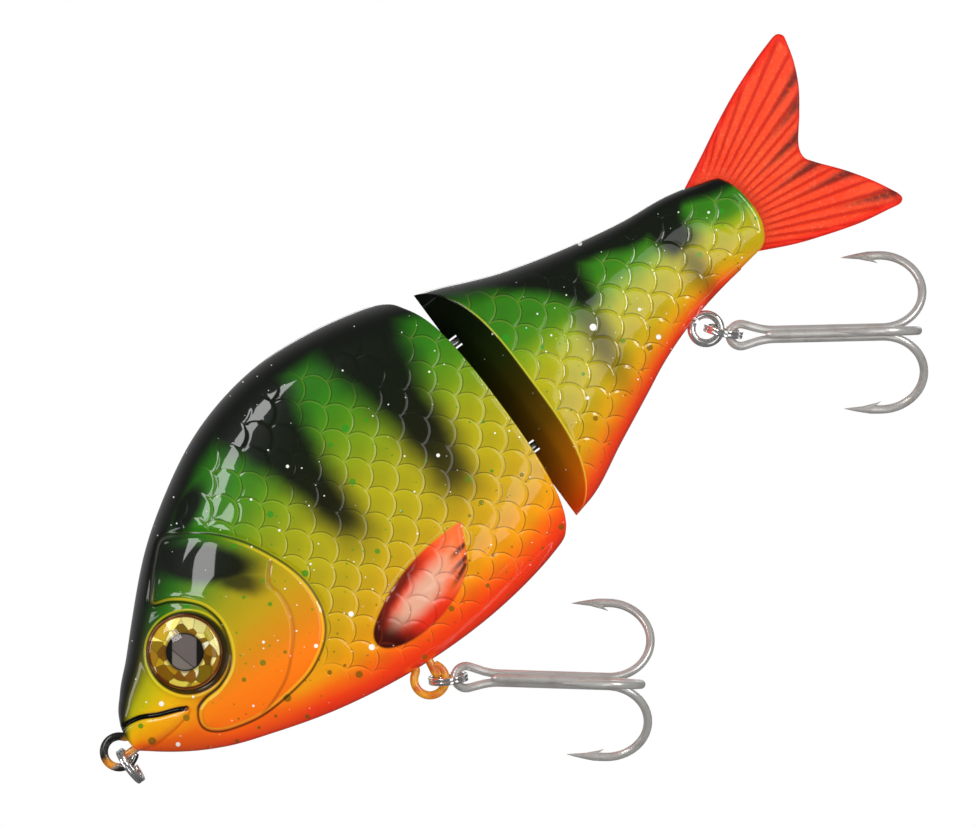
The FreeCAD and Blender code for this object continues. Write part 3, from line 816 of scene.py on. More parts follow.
def scale_nodes(x, z, lattice):
    """The pattern of scale_relief as sockets: distance outside the free edge, height and depth inside."""
    (cx, cz), turn = lattice
    c, s = math.cos(turn) / SCALE_R, math.sin(turn) / SCALE_R
    px = (x - cx) * c + (z - cz) * s
    pz = (z - cz) * c - (x - cx) * s
    column = maths("FLOOR", px)
    a = px - column
    off = pz - maths("FLOORED_MODULO", column, 2.0)
    b = absolute(off - maths("ROUND", off * 0.5) * 2.0)
    reach = length(a, b)
    on_top = maths("LESS_THAN", reach, 1.0)
    rise = a * 0.5 + on_top * 0.5
    edge = (reach - 1.0) * SCALE_R
    under = length(1.0 - a, 1.0 - b)
    own = under + on_top * (reach - under)
    lip = maths("ADD", edge / 0.75, 1.0, clamp=True) * on_top
    return edge, rise * 0.2 - lip * lip * 0.15, (1.0 - own) * SCALE_R


FIN_RAYS = (((-24.5, -18.3), (-20.3, -17.6)), ((-26.5, -20.7), (-20.9, -19.6)),
            ((-27.5, -23.2), (-22.4, -20.8)))


def paint_fin(coat, x, z, fine, edge, scaly):
    """Airbrushed breast fin: red rim, pale pink middle, black root and dark rays at the tip."""
    fin = read("fin")
    inner = Paint(mix(step(-1.2, -4.6, fin + fine * 0.8), (226, 50, 8), (214, 158, 132)))
    inner.spray(step(-30.0, -22.0, x - (z + 18.0) * 0.3) * 0.55, (238, 130, 64))
    inner.spray(step(-22.6, -25.6, z + fine * 0.3) * 0.85, (214, 36, 10))
    inner.spray(step(-36.0, -43.0, x + fine * 0.8 + (z + 22.0) * 0.5) * 0.95, (28, 6, 4))
    upper = step(-2.9, -1.0, fin + fine * 0.4) * step(-25.0, -33.0, x) * step(-23.5, -19.5, z)
    inner.spray(upper * 0.85, (64, 14, 6))
    for start, end in FIN_RAYS:
        line, t = stroke(x, z, start, end, 0.42, 0.35)
        inner.spray(line * step(-0.1, 0.7, t) * 0.9, (62, 20, 14))
    # painted shadow behind the scale edges on the fin
    inner.spray(band(edge, -0.02, 0.02, 0.0, 0.5) * scaly * 0.5, (120, 40, 20))
    coat.spray(step(0.25, -0.25, fin), inner.colour)


# ---- body pieces

def body_piece(name, side, grid, height, tools, store, mat, section, cad_node):
    """Half of a section: its skin pushed out by the relief and closed on the centre plane, less the tools."""
    normal = grid_normals(grid)
    relief = height * ease(0.25, 0.6, np.abs(normal[..., 1]))
    out = grid + normal * relief[..., None]
    flat = np.abs(grid[..., 1]) < 1e-6
    out[flat] = grid[flat]
    out[..., 1] *= side
    rows, columns, _ = grid.shape
    obj = new_object(name + HAND[side], out.reshape(-1, 3), grid_faces(rows, columns))
    carve(clean(obj, close=True, merge=1e-8), tools)
    store(obj)
    finish_piece(obj, mat, 60, section, cad_node + HAND[side])


def front_skin(side, mat):
    grid = front_grid()
    body_piece("front_skin", side, grid, front_relief(grid[..., 0], grid[..., 2]), [eye_socket(side)],
               store_front, mat, "front_section", "front_shell")


def rear_skin(side, mat):
    grid = rear_grid()
    x, y, z = np.moveaxis(grid, -1, 0)
    relief = scale_relief(x, z, REAR_SCALES) * rear_scaly(x, z, x - BEVEL_SLOPE * y, (0.5, 1.2), (0.6, 1.8))
    body_piece("rear_skin", side, grid, relief, hinge_rooms() + [tail_slot()],
               store_rear, mat, "rear_section", "rear_shell")


def rear_scaly(x, z, behind_rim, rim_fade, end_fade):
    """1 where the rear section has scales, fading out at its borders."""
    return (ease(1.5, 5.0, REAR_TOP(x) - z) * ease(0.8, 4.0, z - REAR_BOTTOM(x))
            * ease(*rim_fade, behind_rim) * ease(*end_fade, LOBE_END(z) - x))


def store_front(obj):
    x, y, z = places(obj)
    back, belly = FRONT_TOP(x) - z, z - FRONT_BOTTOM(x)
    gill = signed(GILL_LINE, x, z)
    scaly = ease(0.3, 1.0, gill) * ease(-64, -58, x + 0.35 * z) * ease(3.5, 8.5, back) * ease(1.5, 6.0, belly)
    attributes(obj, rise=belly / (back + belly), back=back, scaly=scaly, gill=gill,
               plate=1 - ease(-0.6, 0.2, gill), flap=distance(FLAP_LINE, x, z),
               mouth=distance(MOUTH_LINE, x, z), jaw=distance(JAW_LINE, x, z), fin=signed(FIN_LINE, x, z),
               eye=np.hypot(x - SOCKET_AT[0], z - SOCKET_AT[1]), face=np.abs(x - hollow(y, z)) < 0.12)


def store_rear(obj):
    x, y, z = places(obj)
    high, low = REAR_TOP(x), REAR_BOTTOM(x)
    behind = x - BEVEL_SLOPE * np.abs(y)
    u = np.clip((z - (high + low) / 2) / ((high - low) / 2), -1, 1)
    inner = np.abs(y) < 0.93 * skin(np.minimum(x, 61), u, REAR_TOP, REAR_BOTTOM)[:, 1]
    in_hinge_room = (behind > 0.4) & (x < 40)
    in_tail_slot = (x > 50) & (LOBE_END(z) - x > 0.6)
    attributes(obj, rise=(z - low) / (high - low), back=high - z, rim=behind,
               scaly=rear_scaly(x, z, behind, (0.4, 0.9), (0.6, 1.6)),
               face=1 - ease(0.05, 0.35, behind), slot=inner & (in_hinge_room | in_tail_slot))


def eye_place(side):
    """Middle of the eye's seat and the unit vector out of it."""
    tilt = math.radians(EYE_TILT_DEG)
    seat = Vector((EYE_AT[0], node_box("eye_foil" + HAND[side])[2].y, EYE_AT[1]))
    return seat, Vector((-math.sin(tilt), side * math.cos(tilt), 0))


def eye_socket(side):
    room = EYE_R + EYE_ROOM
    return lathe("tool", [(room, -SOCKET_DEPTH), (room, EYE_R)], 120, *eye_place(side))


ROOM_ROUND = 0.3
ROOM_ABOVE = 0.35
TAIL_SWING_DEG = 10
SLOT_HALF = 1.2
SLOT_END = 66.0
SLOT_TALL = 40.0


def hinge_rooms():
    """Slots in the bevelled nose that the screw eyes reach through."""
    tools = []
    pin = joint_place("section_hinge")
    for name in ("hinge_eye_upper", "hinge_eye_lower"):
        low, high, middle = node_box(name)
        half = (high.z - low.z) / 2 + ROOM_ABOVE
        reach = high.x - pin.x + ROOM_ROUND
        tools.append(lathe("tool", [(reach, -half), (reach, half)], 64, (pin.x, 0, middle.z), (0, 0, 1)))
        outline = [(-3, -reach), (pin.x, -reach), (pin.x, reach), (-3, reach)]
        tools.append(prism_tool(outline, middle.z - half + 0.001, middle.z + half - 0.001))
    return tools


def tail_slot():
    """Flared slot for the fin, open towards the tail."""
    pin = joint_place("tail_flex")
    start = pin.x + 1
    outline = [(x, side * (SLOT_HALF + (x - pin.x) * math.tan(math.radians(TAIL_SWING_DEG))))
               for x, side in ((start, -1), (SLOT_END, -1), (SLOT_END, 1), (start, 1))]
    return prism_tool(outline, -SLOT_TALL, SLOT_TALL)


# ---- hardware materials

def metal_material(name, colour, rough, tarnish, shine=0.7):
    """Plated metal with fine drawn lines, tiny pits and patches of tarnish."""
    made, shader, _ = material(name)
    where = object_place()[-1]
    patches = step(-0.1, 0.5, noise(where, 3.0, 3.0))
    pits = step(0.55, 0.70, noise(where, 0.5, shift=2.0))
    coat = Paint(mix(patches * 0.55, colour, tarnish))
    coat.spray(pits * 0.25, (90, 80, 70))
    surface(shader, Base_Color=coat.colour, Metallic=shine, Roughness=patches * 0.08 + pits * 0.10 + rough,
            Normal=bump(noise(where, 0.22, shift=5.0), 0.008, 0.3))
    return made


def painted_wire_material(name):
    """Wire sprayed with the body: black on the back, orange-gold below, bare low on the nose eye."""
    made, shader, _ = material(name)
    x, z, where = object_place()
    fine = noise(where, 1.2)
    coat = Paint(mix(step(-0.3, 0.5, noise(where, 2.0, shift=2.0)), (222, 150, 8), (196, 84, 6)))
    coat.spray(step(-10.4, -8.6, z + fine * 0.8 - (x + 96.5) * 0.25), (18, 16, 10))
    nose_bare = step(-11.6, -13.0, z + fine * 0.5) * step(-80.0, -85.0, x)
    bare = largest(nose_bare, step(0.52, 0.60, noise(where, 0.8, shift=4.0)) * 0.8)
    coat.spray(bare, (196, 196, 192))
    surface(shader, Base_Color=coat.colour, Metallic=bare, Roughness=0.34 - bare * 0.14,
            Coat_Weight=1.0 - bare, Coat_Roughness=0.08,
            Normal=bump(noise(where, 0.4, shift=3.0), 0.02, 0.6))
    return made


PUPIL_R = 3.6
FOIL_GOLD = [(0.0, (112, 66, 8)), (0.18, (176, 130, 10)), (0.36, (232, 196, 34)), (0.58, (250, 232, 92)),
             (0.85, (255, 248, 170)), (1.0, (255, 254, 232))]


def foil_material():
    """Gold holographic foil with a printed black pupil that holds a painted reflection of a bright casement.
    """
    made, shader, _ = material("eye_foil")
    x, z, _ = object_place()
    px, pz = x - EYE_AT[0], z - EYE_AT[1]
    r = length(px, pz)
    near = largest(r, 0.2)
    spread = join(px / near * 2.2, pz / near * 2.2, r / 2.2)
    facet = cells(spread, "3D")["Color"]
    tone, hue, _ = channels("Color", facet)
    coat = Paint(ramp(tone, FOIL_GOLD))
    coat.spray(step(0.78, 0.95, hue) * 0.45, (96, 120, 24))
    coat.spray(step(0.22, 0.05, hue) * 0.50, (130, 60, 8))
    crack = cells(spread, "3D", feature="DISTANCE_TO_EDGE")["Distance"]
    coat.spray(step(0.05, 0.0, Value(crack)) * 0.5, (90, 70, 20))
    coat.spray(step(EYE_R - 0.72, EYE_R - 0.55, r) * 0.9, (150, 70, 20))
    coat.spray(step(0.16, 0.06, absolute(r - (EYE_R - 0.36))) * 0.85, (56, 22, 6))
    coat.spray(step(0.30, 0.10, absolute(r - (PUPIL_R + 0.15))) * 0.55, (92, 70, 20))
    # painted reflection in the pupil: a pale glazed opening, darker in its lower half, with a dark bar across
    # it
    sideways = px * 0.80 - pz * 0.60
    slant = px * 0.60 + pz * 0.80 + sideways * 0.8
    reflected_window = step(2.45, 2.15, absolute(sideways + 0.1)) * step(PUPIL_R - 0.15, PUPIL_R - 0.35, r)
    reflected_pane = mix(step(0.0, -0.15, slant + 1.6) * 0.5, (104, 97, 100), (134, 128, 126))
    reflected_sash = step(0.16, 0.06, absolute(slant + 1.55))
    pupil = step(PUPIL_R + 0.06, PUPIL_R - 0.04, r)
    coat.spray(pupil, mix(reflected_window * (1.0 - reflected_sash * 0.8), (7, 7, 7), reflected_pane))
    lean = vectors("SCALE", vectors("SUBTRACT", Value(facet), (0.5, 0.5, 0.5)), (1.0 - pupil) * 0.5)
    normal = vectors("ADD", lean, Value(node("NewGeometry").outputs["Normal"]))
    surface(shader, Base_Color=coat.colour, Metallic=(1.0 - pupil) * 0.22, Roughness=0.30,
            Normal=vectors("NORMALIZE", normal))
    return made


def lens_material():
    """Clear cast resin: a thin glossy skin over the foil that lets camera light straight through."""
    made, _, out = material("eye_lens")
    clear = node("BsdfTransparent")
    clear.inputs[0].default_value = (0.97, 0.96, 0.93, 1)
    gloss = node("BsdfGlossy")
    fresnel = node("Fresnel")
    normal = bump(noise(object_place()[-1], 4.0, 1.0), 0.04, 0.4)
    surface(gloss.inputs, Roughness=0.03, Color=(1.0, 1.0, 1.0), Normal=normal)
    surface(fresnel.inputs, IOR=1.52, Normal=normal)
    inner_face = Value(node("NewGeometry").outputs["Backfacing"])
    mixed = node("MixShader")
    plug(mixed.inputs[0], Value(fresnel.outputs[0]) * (1.0 - inner_face))
    link(clear.outputs[0], mixed.inputs[1])
    link(gloss.outputs[0], mixed.inputs[2])
    link(mixed.outputs[0], out.inputs[0])
    return made


def tail_material():
    """Soft red-orange plastic, a little see-through, with smoky streaks at the trailing edge."""
    made, shader, _ = material("tail_soft")
    x, z, where = object_place()
    rim, trail = read("rim"), read("trail")
    fine = noise(where, 0.5, 3.0)
    rx, rz = x - (TAIL_ROOT[0] - FAN_BACK), z - TAIL_ROOT[1]
    angle = maths("ARCTAN2", rz, rx) * (180 / math.pi) - FAN_LOW
    ray = angle * (RAYS / (FAN_HIGH - FAN_LOW)) + fine * 0.03
    wave = absolute(maths("FRACT", ray) - 0.5) * 2.0
    fan = step(4.0, 9.0, length(rx, rz) - FAN_BACK)
    coat = Paint(mix(step(-0.6, 0.7, noise(where, 7.0, shift=2.0)), (226, 50, 12), (230, 72, 28)))
    coat.spray(step(0.0, 0.55, fine) * 0.40, (240, 120, 84))
    coat.spray(step(0.0, -0.6, fine) * 0.30, (196, 30, 8))
    # darker red down the grooves between the ribs: painted shade
    coat.spray(step(0.66, 0.92, wave) * fan * step(0.5, 1.2, rim) * 0.85, (188, 16, 2))
    coat.spray(step(1.45, 0.85, rim) * 0.9, (218, 26, 3))
    coat.spray(step(0.8, 0.3, trail) * 0.7, (214, 30, 6))
    coat.spray(read("smoke") * step(-0.75, 0.1, noise(where, 0.8, 3.0, shift=5.0)) * 0.84, (58, 28, 22))
    coat.spray(step(9.0, 0.0, trail) * step(0.1, 0.7, noise(where, 5.0, shift=7.0)) * 0.18, (90, 90, 20))
    ribs = bump(step(0.95, 0.45, wave) * fan, 0.22, 0.9)
    surface(shader, Base_Color=coat.colour, Roughness=fine * 0.08 + 0.42, Subsurface_Weight=0.15,
            Subsurface_Radius=(1.0, 0.25, 0.12), Subsurface_Scale=0.8 * MM, Specular_IOR_Level=0.2,
            Coat_Weight=0.1, Coat_Roughness=0.25, Normal=bump(fine, 0.05, 0.8, ribs))
    return made


# ---- eyes

def eye_foil(side, mat):
    """Slightly domed foil disc."""
    profile = [(EYE_R, -0.2)] + [(EYE_R * math.cos(t), 0.12 + 0.16 * math.sin(t))
                                 for t in np.linspace(0, math.pi / 2 - 0.02, 40)]
    obj = lathe("eye_foil_disc" + HAND[side], profile, 128, *eye_place(side))
    finish_piece(obj, mat, 40, "front_section", "eye_foil" + HAND[side])


def eye_lens(side, mat):
    """Clear dome over the foil."""
    profile = [(EYE_R, 0.30), (EYE_R + 0.02, 0.85)]
    profile += [(EYE_R * math.cos(t) ** 0.94, 0.9 + 2.0 * math.sin(t))
                for t in np.linspace(0.04, math.pi / 2 - 0.015, 36)]
    obj = lathe("eye_lens" + HAND[side], profile, 128, *eye_place(side))
    finish_piece(obj, mat, 50, "front_section", "eye_dome" + HAND[side])


# ---- wire hardware

WIRE_R = 0.80
WIRE_BEND = 1.6
RING_R = 3.4
RING_WIRE = (0.38, 0.34)
RING_LIFT = 0.36
RING_GAP_DEG = 11


def arc_points(centre, radius, start, end, count, u, v):
    """Points of an arc about centre in the plane of unit vectors u and v; angles in degrees."""
    a = np.radians(np.linspace(start, end, count))[:, None]
    return np.array(centre) + radius * (np.cos(a) * np.array(u) + np.sin(a) * np.array(v))


def staple(name, cad_node, centre, radius, legs, leg_length, mouth, mat):
    """Wire eye: a loop open by mouth degrees to each side of direction legs, and two legs that way."""
    along, over = heading(legs), heading(legs + 90)
    loop = arc_points(centre, radius, mouth, 360 - mouth, 64, along, over)
    ends = []
    for side, end in ((1, loop[0]), (-1, loop[-1])):
        open_a = math.radians(mouth)
        corner = end + side * WIRE_BEND * (over * math.sin(open_a) + along * math.cos(open_a))
        turn = arc_points(corner, WIRE_BEND, 180 + mouth, 270, 16, along, over * side)
        ends.append(list(turn)[1:] + [turn[-1] + along * leg_length * t for t in np.linspace(0, 1, 12)[1:]])
    obj = sweep(name, np.array(ends[0][::-1] + list(loop) + ends[1]), WIRE_R, 24)
    finish_piece(obj, mat, 60, "front_section", cad_node)


def screw_eye(cad_node, body, at, radius, wire, shank, beside, shank_length, mat):
    """Eye of a screw: a loop round at in the plane of shank and beside, and a threaded shank along shank."""
    steps = 70
    ring = sweep(cad_node + "_wire", arc_points(at, radius, 12, 348, 80, shank, beside), wire, 24)
    stem = [np.array(at) + shank * (radius - 0.3 + shank_length * t) for t in np.linspace(0, 1, steps)]
    thread = [wire + 0.05 + 0.10 * math.sin(k * 1.9) * (k > 0.4 * steps) for k in range(steps)]
    carve(ring, [sweep("tool", stem, thread, 20)], "UNION")
    finish_piece(ring, mat, 45, body, cad_node)


def split_ring(name, cad_node, body, direction, roll, mat):
    """Two coils of wire with a step where they cross. direction is the chain's, in degrees below +x."""
    along, upright = heading(-direction), heading(90 - direction)
    roll = math.radians(roll)
    crossways = ACROSS * math.cos(roll) + upright * math.sin(roll)
    normal = np.cross(along, crossways)
    t = np.linspace(0, 1, 260)
    angle = np.radians(90 + RING_GAP_DEG + (720 - 2 * RING_GAP_DEG) * t)[:, None]
    # the two coils lie on each other except where the wire steps across
    lift = RING_LIFT * (2 * ease(0.46, 0.54, t) - 1)
    path = (np.array(node_box(cad_node)[2]) + RING_R * (np.cos(angle) * along + np.sin(angle) * crossways)
            + lift[:, None] * normal)
    ring = sweep(name, path, 1.0, 16, flat=RING_WIRE, up=normal)
    finish_piece(ring, mat, 50, body, cad_node)


HOOK_WIRE_R = 0.82
HOOK_EYE_R = 2.1
EYE_TURN_DEG = 105
BUNDLE_R = 0.98
NECK_L = 6.5
BEND_X = 26.9
GAPE = 17.0
POINT_L = 7.2
POINT_TAPER = 5.2
BRAZED_SHORT = 1.8
BRAZED_START = 5.2


def beside_shank(out, reach, x):
    """Point of a treble at x along the shank and reach from its middle, in direction out."""
    return out * reach + np.array([x, 0, 0])


def eye_and_neck(out):
    """Half of the teardrop eye, then the neck that brings the wire alongside the other."""
    sign = 1 if out[2] > 0 else -1
    loop = [HOOK_EYE_R * np.array([-math.cos(a), 0, sign * math.sin(a)])
            for a in np.radians(np.linspace(0, EYE_TURN_DEG, 22))]
    a = math.radians(EYE_TURN_DEG)
    p0, p3 = loop[-1], beside_shank(out, BUNDLE_R, NECK_L)
    p1 = p0 + 2.2 * np.array([math.sin(a), 0, sign * math.cos(a)])
    p2 = p3 - np.array([2.6, 0, 0])
    return loop + [((1 - t) ** 3) * p0 + 3 * t * (1 - t) ** 2 * p1 + 3 * t * t * (1 - t) * p2 + t ** 3 * p3
                   for t in np.linspace(0, 1, 22)[1:]]


def hook_path(out_deg, short, from_eye):
    """Points, radii, direction and bend of one hook in the treble's own axes, with the shank along x."""
    out = np.array([0, math.cos(math.radians(out_deg)), math.sin(math.radians(out_deg))])
    bend = BEND_X - short
    start = NECK_L if from_eye else BRAZED_START
    turn_r = (GAPE - BUNDLE_R) / 2
    points = eye_and_neck(out) if from_eye else [beside_shank(out, BUNDLE_R, start)]
    points += [beside_shank(out, BUNDLE_R, x) for x in np.linspace(start, bend, 26)[1:]]
    points += [beside_shank(out, BUNDLE_R + turn_r * (1 - math.cos(a)), bend + turn_r * math.sin(a))
               for a in np.radians(np.linspace(0, 180, 60)[1:])]
    points += [beside_shank(out, GAPE - 0.35 * t * t, bend - POINT_L * t) for t in np.linspace(0, 1, 26)[1:]]
    points = np.array(points)
    run = np.concatenate([[0], np.cumsum(np.linalg.norm(np.diff(points, axis=0), axis=1))])
    radius = HOOK_WIRE_R * np.clip((run[-1] - run) / POINT_TAPER, 0, 1) ** 0.8
    return points, np.maximum(radius, 0.04), out, bend


def treble(name, cad_node, body, eye, droop, mat):
    """Treble hook: one wire makes the eye and two hooks, and a third hook is brazed on."""
    axes = np.array([heading(-droop), ACROSS, heading(90 - droop)])

    def placed(points):
        return np.array(eye) + np.array(points) @ axes
    first, second = hook_path(60, 0, True), hook_path(-60, 0, True)
    third = hook_path(180, BRAZED_SHORT, False)
    obj = sweep(name, placed(np.concatenate([second[0][::-1], first[0][1:]])),
                np.concatenate([second[1][::-1], first[1][1:]]), 26)
    path = np.concatenate([third[0][:1] - np.array([[0.5, 0, 0]]), third[0]])
    parts = [sweep("tool", placed(path), np.concatenate([[0.12, 0.55], third[1][1:]]), 26)]
    t = np.linspace(0, 1, 14)
    for _, _, out, bend in (first, second, third):
        foot, tip = bend - POINT_L + 3.9, bend - POINT_L + 7.0
        line = np.array([beside_shank(out, GAPE - drop, x) for drop, x in (
            (0.1, foot - 0.4), (0.55, foot + 0.6), (1.1, (foot + tip) / 2 + 0.5), (1.75, tip))])
        barb = np.stack([np.interp(t, [0, 0.33, 0.66, 1], line[:, k]) for k in range(3)], axis=-1)
        parts.append(sweep("tool", placed(barb), 0.5 * (1 - t ** 1.4) + 0.03, 18))
    t = np.linspace(0, 1, 40)
    braze = 0.42 + 0.10 * np.sin(26 * t) * (1 - t)
    braze *= ease(0, 0.04, t) * (1 - ease(0.94, 1.0, t)) + 0.05
    middle = t[:, None] * [third[3] - BRAZED_START, 0, 0] + [BRAZED_START + 0.4, 0, 0]
    parts.append(sweep("tool", placed(middle), braze, 18))
    finish_piece(carve(obj, parts, "UNION"), mat, 45, body, cad_node)


# ---- tail fin

TAIL_ROOT = (56.0, 2.4)
TAIL_TAB = [(58.3, -6.5), (56.4, -5.6), (53.5, -4.4)]
TAIL_TOP = curve([(53.5, 11.75), (60, 15), (66, 18.1), (72, 20.85), (78, 23.1), (82, 24.35), (84.7, 24.95),
                  (85.8, 24.1), (85.75, 23)], per_span=10)
TAIL_TRAIL = curve([(85.75, 23), (84.6, 19), (82.5, 14.5), (79.4, 10.1), (76, 5.8), (75.25, 3.2), (76.4, 1.1),
                    (80, -3.5), (83.2, -8.4), (85.5, -12.9)], per_span=10)
TAIL_LOW = curve([(85.5, -12.9), (85.7, -14.2), (84.7, -14.9), (82.2, -14.5), (76.5, -13.4), (70, -11.4),
                  (64, -9.2), (58.3, -6.5)], per_span=10)
RAYS = 15
FAN_BACK = 9.0
FAN_LOW = -28.5
FAN_HIGH = 34.0
TAIL_PLATE_HALF = 0.62
TAIL_GRID = 0.30
SMOKE_ENDS = [(83.9, 16.6), (81.2, 12.2), (76.9, 6.9), (76.3, 0.9), (80.6, -4.3), (84.2, -12.3)]


def tail_edges(x, z):
    """Distances to the fin's upper or lower rim and to its trailing edge."""
    rim = np.minimum(distance(TAIL_TOP, x, z), distance(TAIL_LOW, x, z))
    return rim, distance(TAIL_TRAIL, x, z)


def tail_height(x, z):
    """Half thickness of the fin: round rim, ribs between grooves, thin trailing edge."""
    rim, trail = tail_edges(x, z)
    out = np.hypot(x - TAIL_ROOT[0], z - TAIL_ROOT[1])
    angle = np.degrees(np.arctan2(z - TAIL_ROOT[1], x - TAIL_ROOT[0] + FAN_BACK))
    wave = np.abs(np.mod((angle - FAN_LOW) / (FAN_HIGH - FAN_LOW) * RAYS, 1.0) - 0.5) * 2
    fan = ease(4.0, 9.0, out)
    h = TAIL_PLATE_HALF + 0.20 * fan * (1 - wave ** 3) - 0.10 * fan
    h -= groove(rim - 0.75, 0.6, 0.32) * ease(2.0, 6.0, out)
    h += 0.10 * (1 - ease(9.0, 20.0, out))
    h *= 1 - 0.30 * ease(6.0, 0.0, trail)
    return h * np.sqrt(np.clip(1 - (1 - np.clip(np.minimum(rim, trail) / 0.6, 0, 1)) ** 2, 0.0, 1))


def tail_smoke(x, z):
    """Strength of the smoky streaks that run in from the trailing edge along the rays."""
    smoke = np.zeros_like(x)
    for ex, ez in SMOKE_ENDS:
        dx, dz = np.array([ex - TAIL_ROOT[0] + FAN_BACK, ez - TAIL_ROOT[1]])
        dx, dz = np.array([dx, dz]) / math.hypot(dx, dz)
        back_by = (ex - x) * dx + (ez - z) * dz
        width = 0.35 + 0.85 * np.exp(-np.clip(back_by, 0, 50) / 5.0)
        streak = -groove((z - ez) * dx - (x - ex) * dz, width, 1.0)
        smoke = np.maximum(smoke, streak * (1 - ease(1.0, 13.5, back_by)) * ease(-3.0, -1.0, back_by))
    return smoke


def tail_fin(mat):
    """Forked soft fin: a plate inside the slot and a ribbed fan behind it."""
    outline = np.concatenate([TAIL_TAB, TAIL_TOP[:-1], TAIL_TRAIL[:-1], TAIL_LOW[:-1]])
    bm = bmesh.new()
    ring = [bm.verts.new((x, 0, z)) for x, z in outline]
    for a, b in zip(ring, ring[1:] + ring[:1]):
        bm.edges.new((a, b))
    bmesh.ops.triangle_fill(bm, use_beauty=True, use_dissolve=False, edges=bm.edges[:])
    for normal, low, high in zip(((1, 0, 0), (0, 0, 1)), outline.min(axis=0), outline.max(axis=0)):
        for place in np.arange(low + TAIL_GRID, high - 0.05, TAIL_GRID):
            bmesh.ops.bisect_plane(bm, geom=bm.verts[:] + bm.edges[:] + bm.faces[:],
                                   plane_co=Vector(normal) * place, plane_no=normal)
    bmesh.ops.triangulate(bm, faces=[f for f in bm.faces if len(f.verts) > 4])
    bm.verts.ensure_lookup_table()
    bm.verts.index_update()
    x, _, z = np.array([v.co for v in bm.verts]).T
    faces = [[v.index for v in f.verts] for f in bm.faces]
    border = np.array([v.is_boundary for v in bm.verts])
    bm.free()
    h = np.where(border, 0.0, tail_height(x, z))
    # the soft fin waves a little sideways towards its tips
    wave = 0.35 * ease(66, 86, x) * np.sin((z - 4) / 9.0)
    both = np.concatenate([np.stack([x, wave + side * h, z], axis=-1) for side in (-1, 1)])
    faces += [[i + len(x) for i in reversed(f)] for f in faces]
    obj = clean(new_object("tail_fin_fan", both, faces))
    x, _, z = places(obj)
    rim, trail = tail_edges(x, z)
    attributes(obj, rim=rim, trail=trail, smoke=tail_smoke(x, z))
    finish_piece(obj, mat, 60, "tail", "tail_fin")


# ---- lights, floor and camera

CAMERA_ROLL = 36.4913
VIEW_CENTRE = (-2.05, 0.0, -0.37)
VIEW_WIDTH = 185.25
CAMERA_AWAY = 1400.0
LIGHT_AWAY = 520.0
FLOOR_HALF = 420.0
FLOOR_Z = -190.0
# name, the two ends of the middle line as (right, up) of the viewer, width, brightness, behind the lure
STRIPS = (("strip", ((-0.71, 0.07), (-0.65, 0.64)), 84, 6.5, False),
          ("plate_strip", ((-0.50, -0.14), (-0.60, 0.06)), 76, 6, False),
          ("nose_strip", ((-0.97, -0.25), (-0.95, 0.08)), 60, 3.5, False),
          ("sheen", ((0.30, -0.56), (0.30, 0.36)), 130, 1.5, False),
          ("edge", ((0.72, -0.05), (0.62, 0.62)), 90, 9, False),
          ("back_strip", ((-0.30, 0.30), (0.55, 0.30)), 60, 2, True))
WASHES = (("key", ((-0.5, 0.45), (0.35, 0.6)), 360, 1.75, False),
          ("fill", ((-0.45, -0.35), (0.45, -0.2)), 360, 1.45, False),
          ("back_key", ((-0.5, 0.4), (0.5, 0.5)), 360, 2.6, True))


def view_axes():
    """Right, up and towards the viewer, for the main camera."""
    right, up = Vector(heading(-CAMERA_ROLL)), Vector(heading(90 - CAMERA_ROLL))
    return right, up, right.cross(up)


def place_object(name, data, at, axes):
    obj = bpy.data.objects.new(name, data)
    bpy.context.scene.collection.objects.link(obj)
    obj.matrix_world = Matrix.Translation(to_row(at)) @ Matrix(axes).transposed().to_4x4()
    return obj


def softbox(name, ends, width, brightness, behind):
    """Long light whose middle line runs between two directions."""
    right, up, back = view_axes()
    if behind:
        back = -back
    tips = []
    for r, u in ends:
        direction = right * r + up * u + back * math.sqrt(max(0.02, 1 - r * r - u * u))
        tips.append(direction.normalized() * LIGHT_AWAY)
    middle = (tips[0] + tips[1]) / 2
    along = (tips[1] - tips[0]).normalized()
    facing = (middle - along * middle.dot(along)).normalized()
    data = bpy.data.lights.new(name, "AREA")
    data.shape = "RECTANGLE"
    data.size = width * MM
    data.size_y = (tips[1] - tips[0]).length * MM
    data.energy = brightness * math.pi * data.size * data.size_y
    return place_object(name, data, middle, (along.cross(facing), along, facing))


def lights():
    for strip in STRIPS:
        softbox(*strip)
    for wash in WASHES:
        softbox(*wash).visible_glossy = False


def camera():
    data = bpy.data.cameras.new("camera")
    data.sensor_width = 36
    data.lens = data.sensor_width * CAMERA_AWAY / VIEW_WIDTH
    data.clip_end = 20
    axes = view_axes()
    at = Vector(VIEW_CENTRE) + axes[2] * CAMERA_AWAY
    bpy.context.scene.camera = place_object("camera", data, at, axes)


def world():
    """White to the camera; in reflections the room is pale behind the lure and dim behind the viewer."""
    made = bpy.data.worlds.new("studio")
    bpy.context.scene.world = made
    made.use_nodes = True
    Value.tree = made.node_tree
    Value.tree.nodes.clear()
    _, y, z = channels("XYZ", node("TexCoord").outputs["Generated"])
    ray = node("LightPath").outputs
    behind = step(-0.1, 0.75, y) * step(-0.45, 0.25, z)
    mirrored = behind * 0.22 + step(-0.3, 1.0, z) * 0.07 + 0.03
    lit = Value(ray["Is Glossy Ray"]) * (mirrored - 0.27) + 0.27
    shown = node("Background")
    seen = Value(ray["Is Camera Ray"])
    surface(shown.inputs, Color=(1.0, 1.0, 1.0), Strength=lit + seen * (1.0 - lit))
    link(shown.outputs[0], node("OutputWorld").inputs[0])


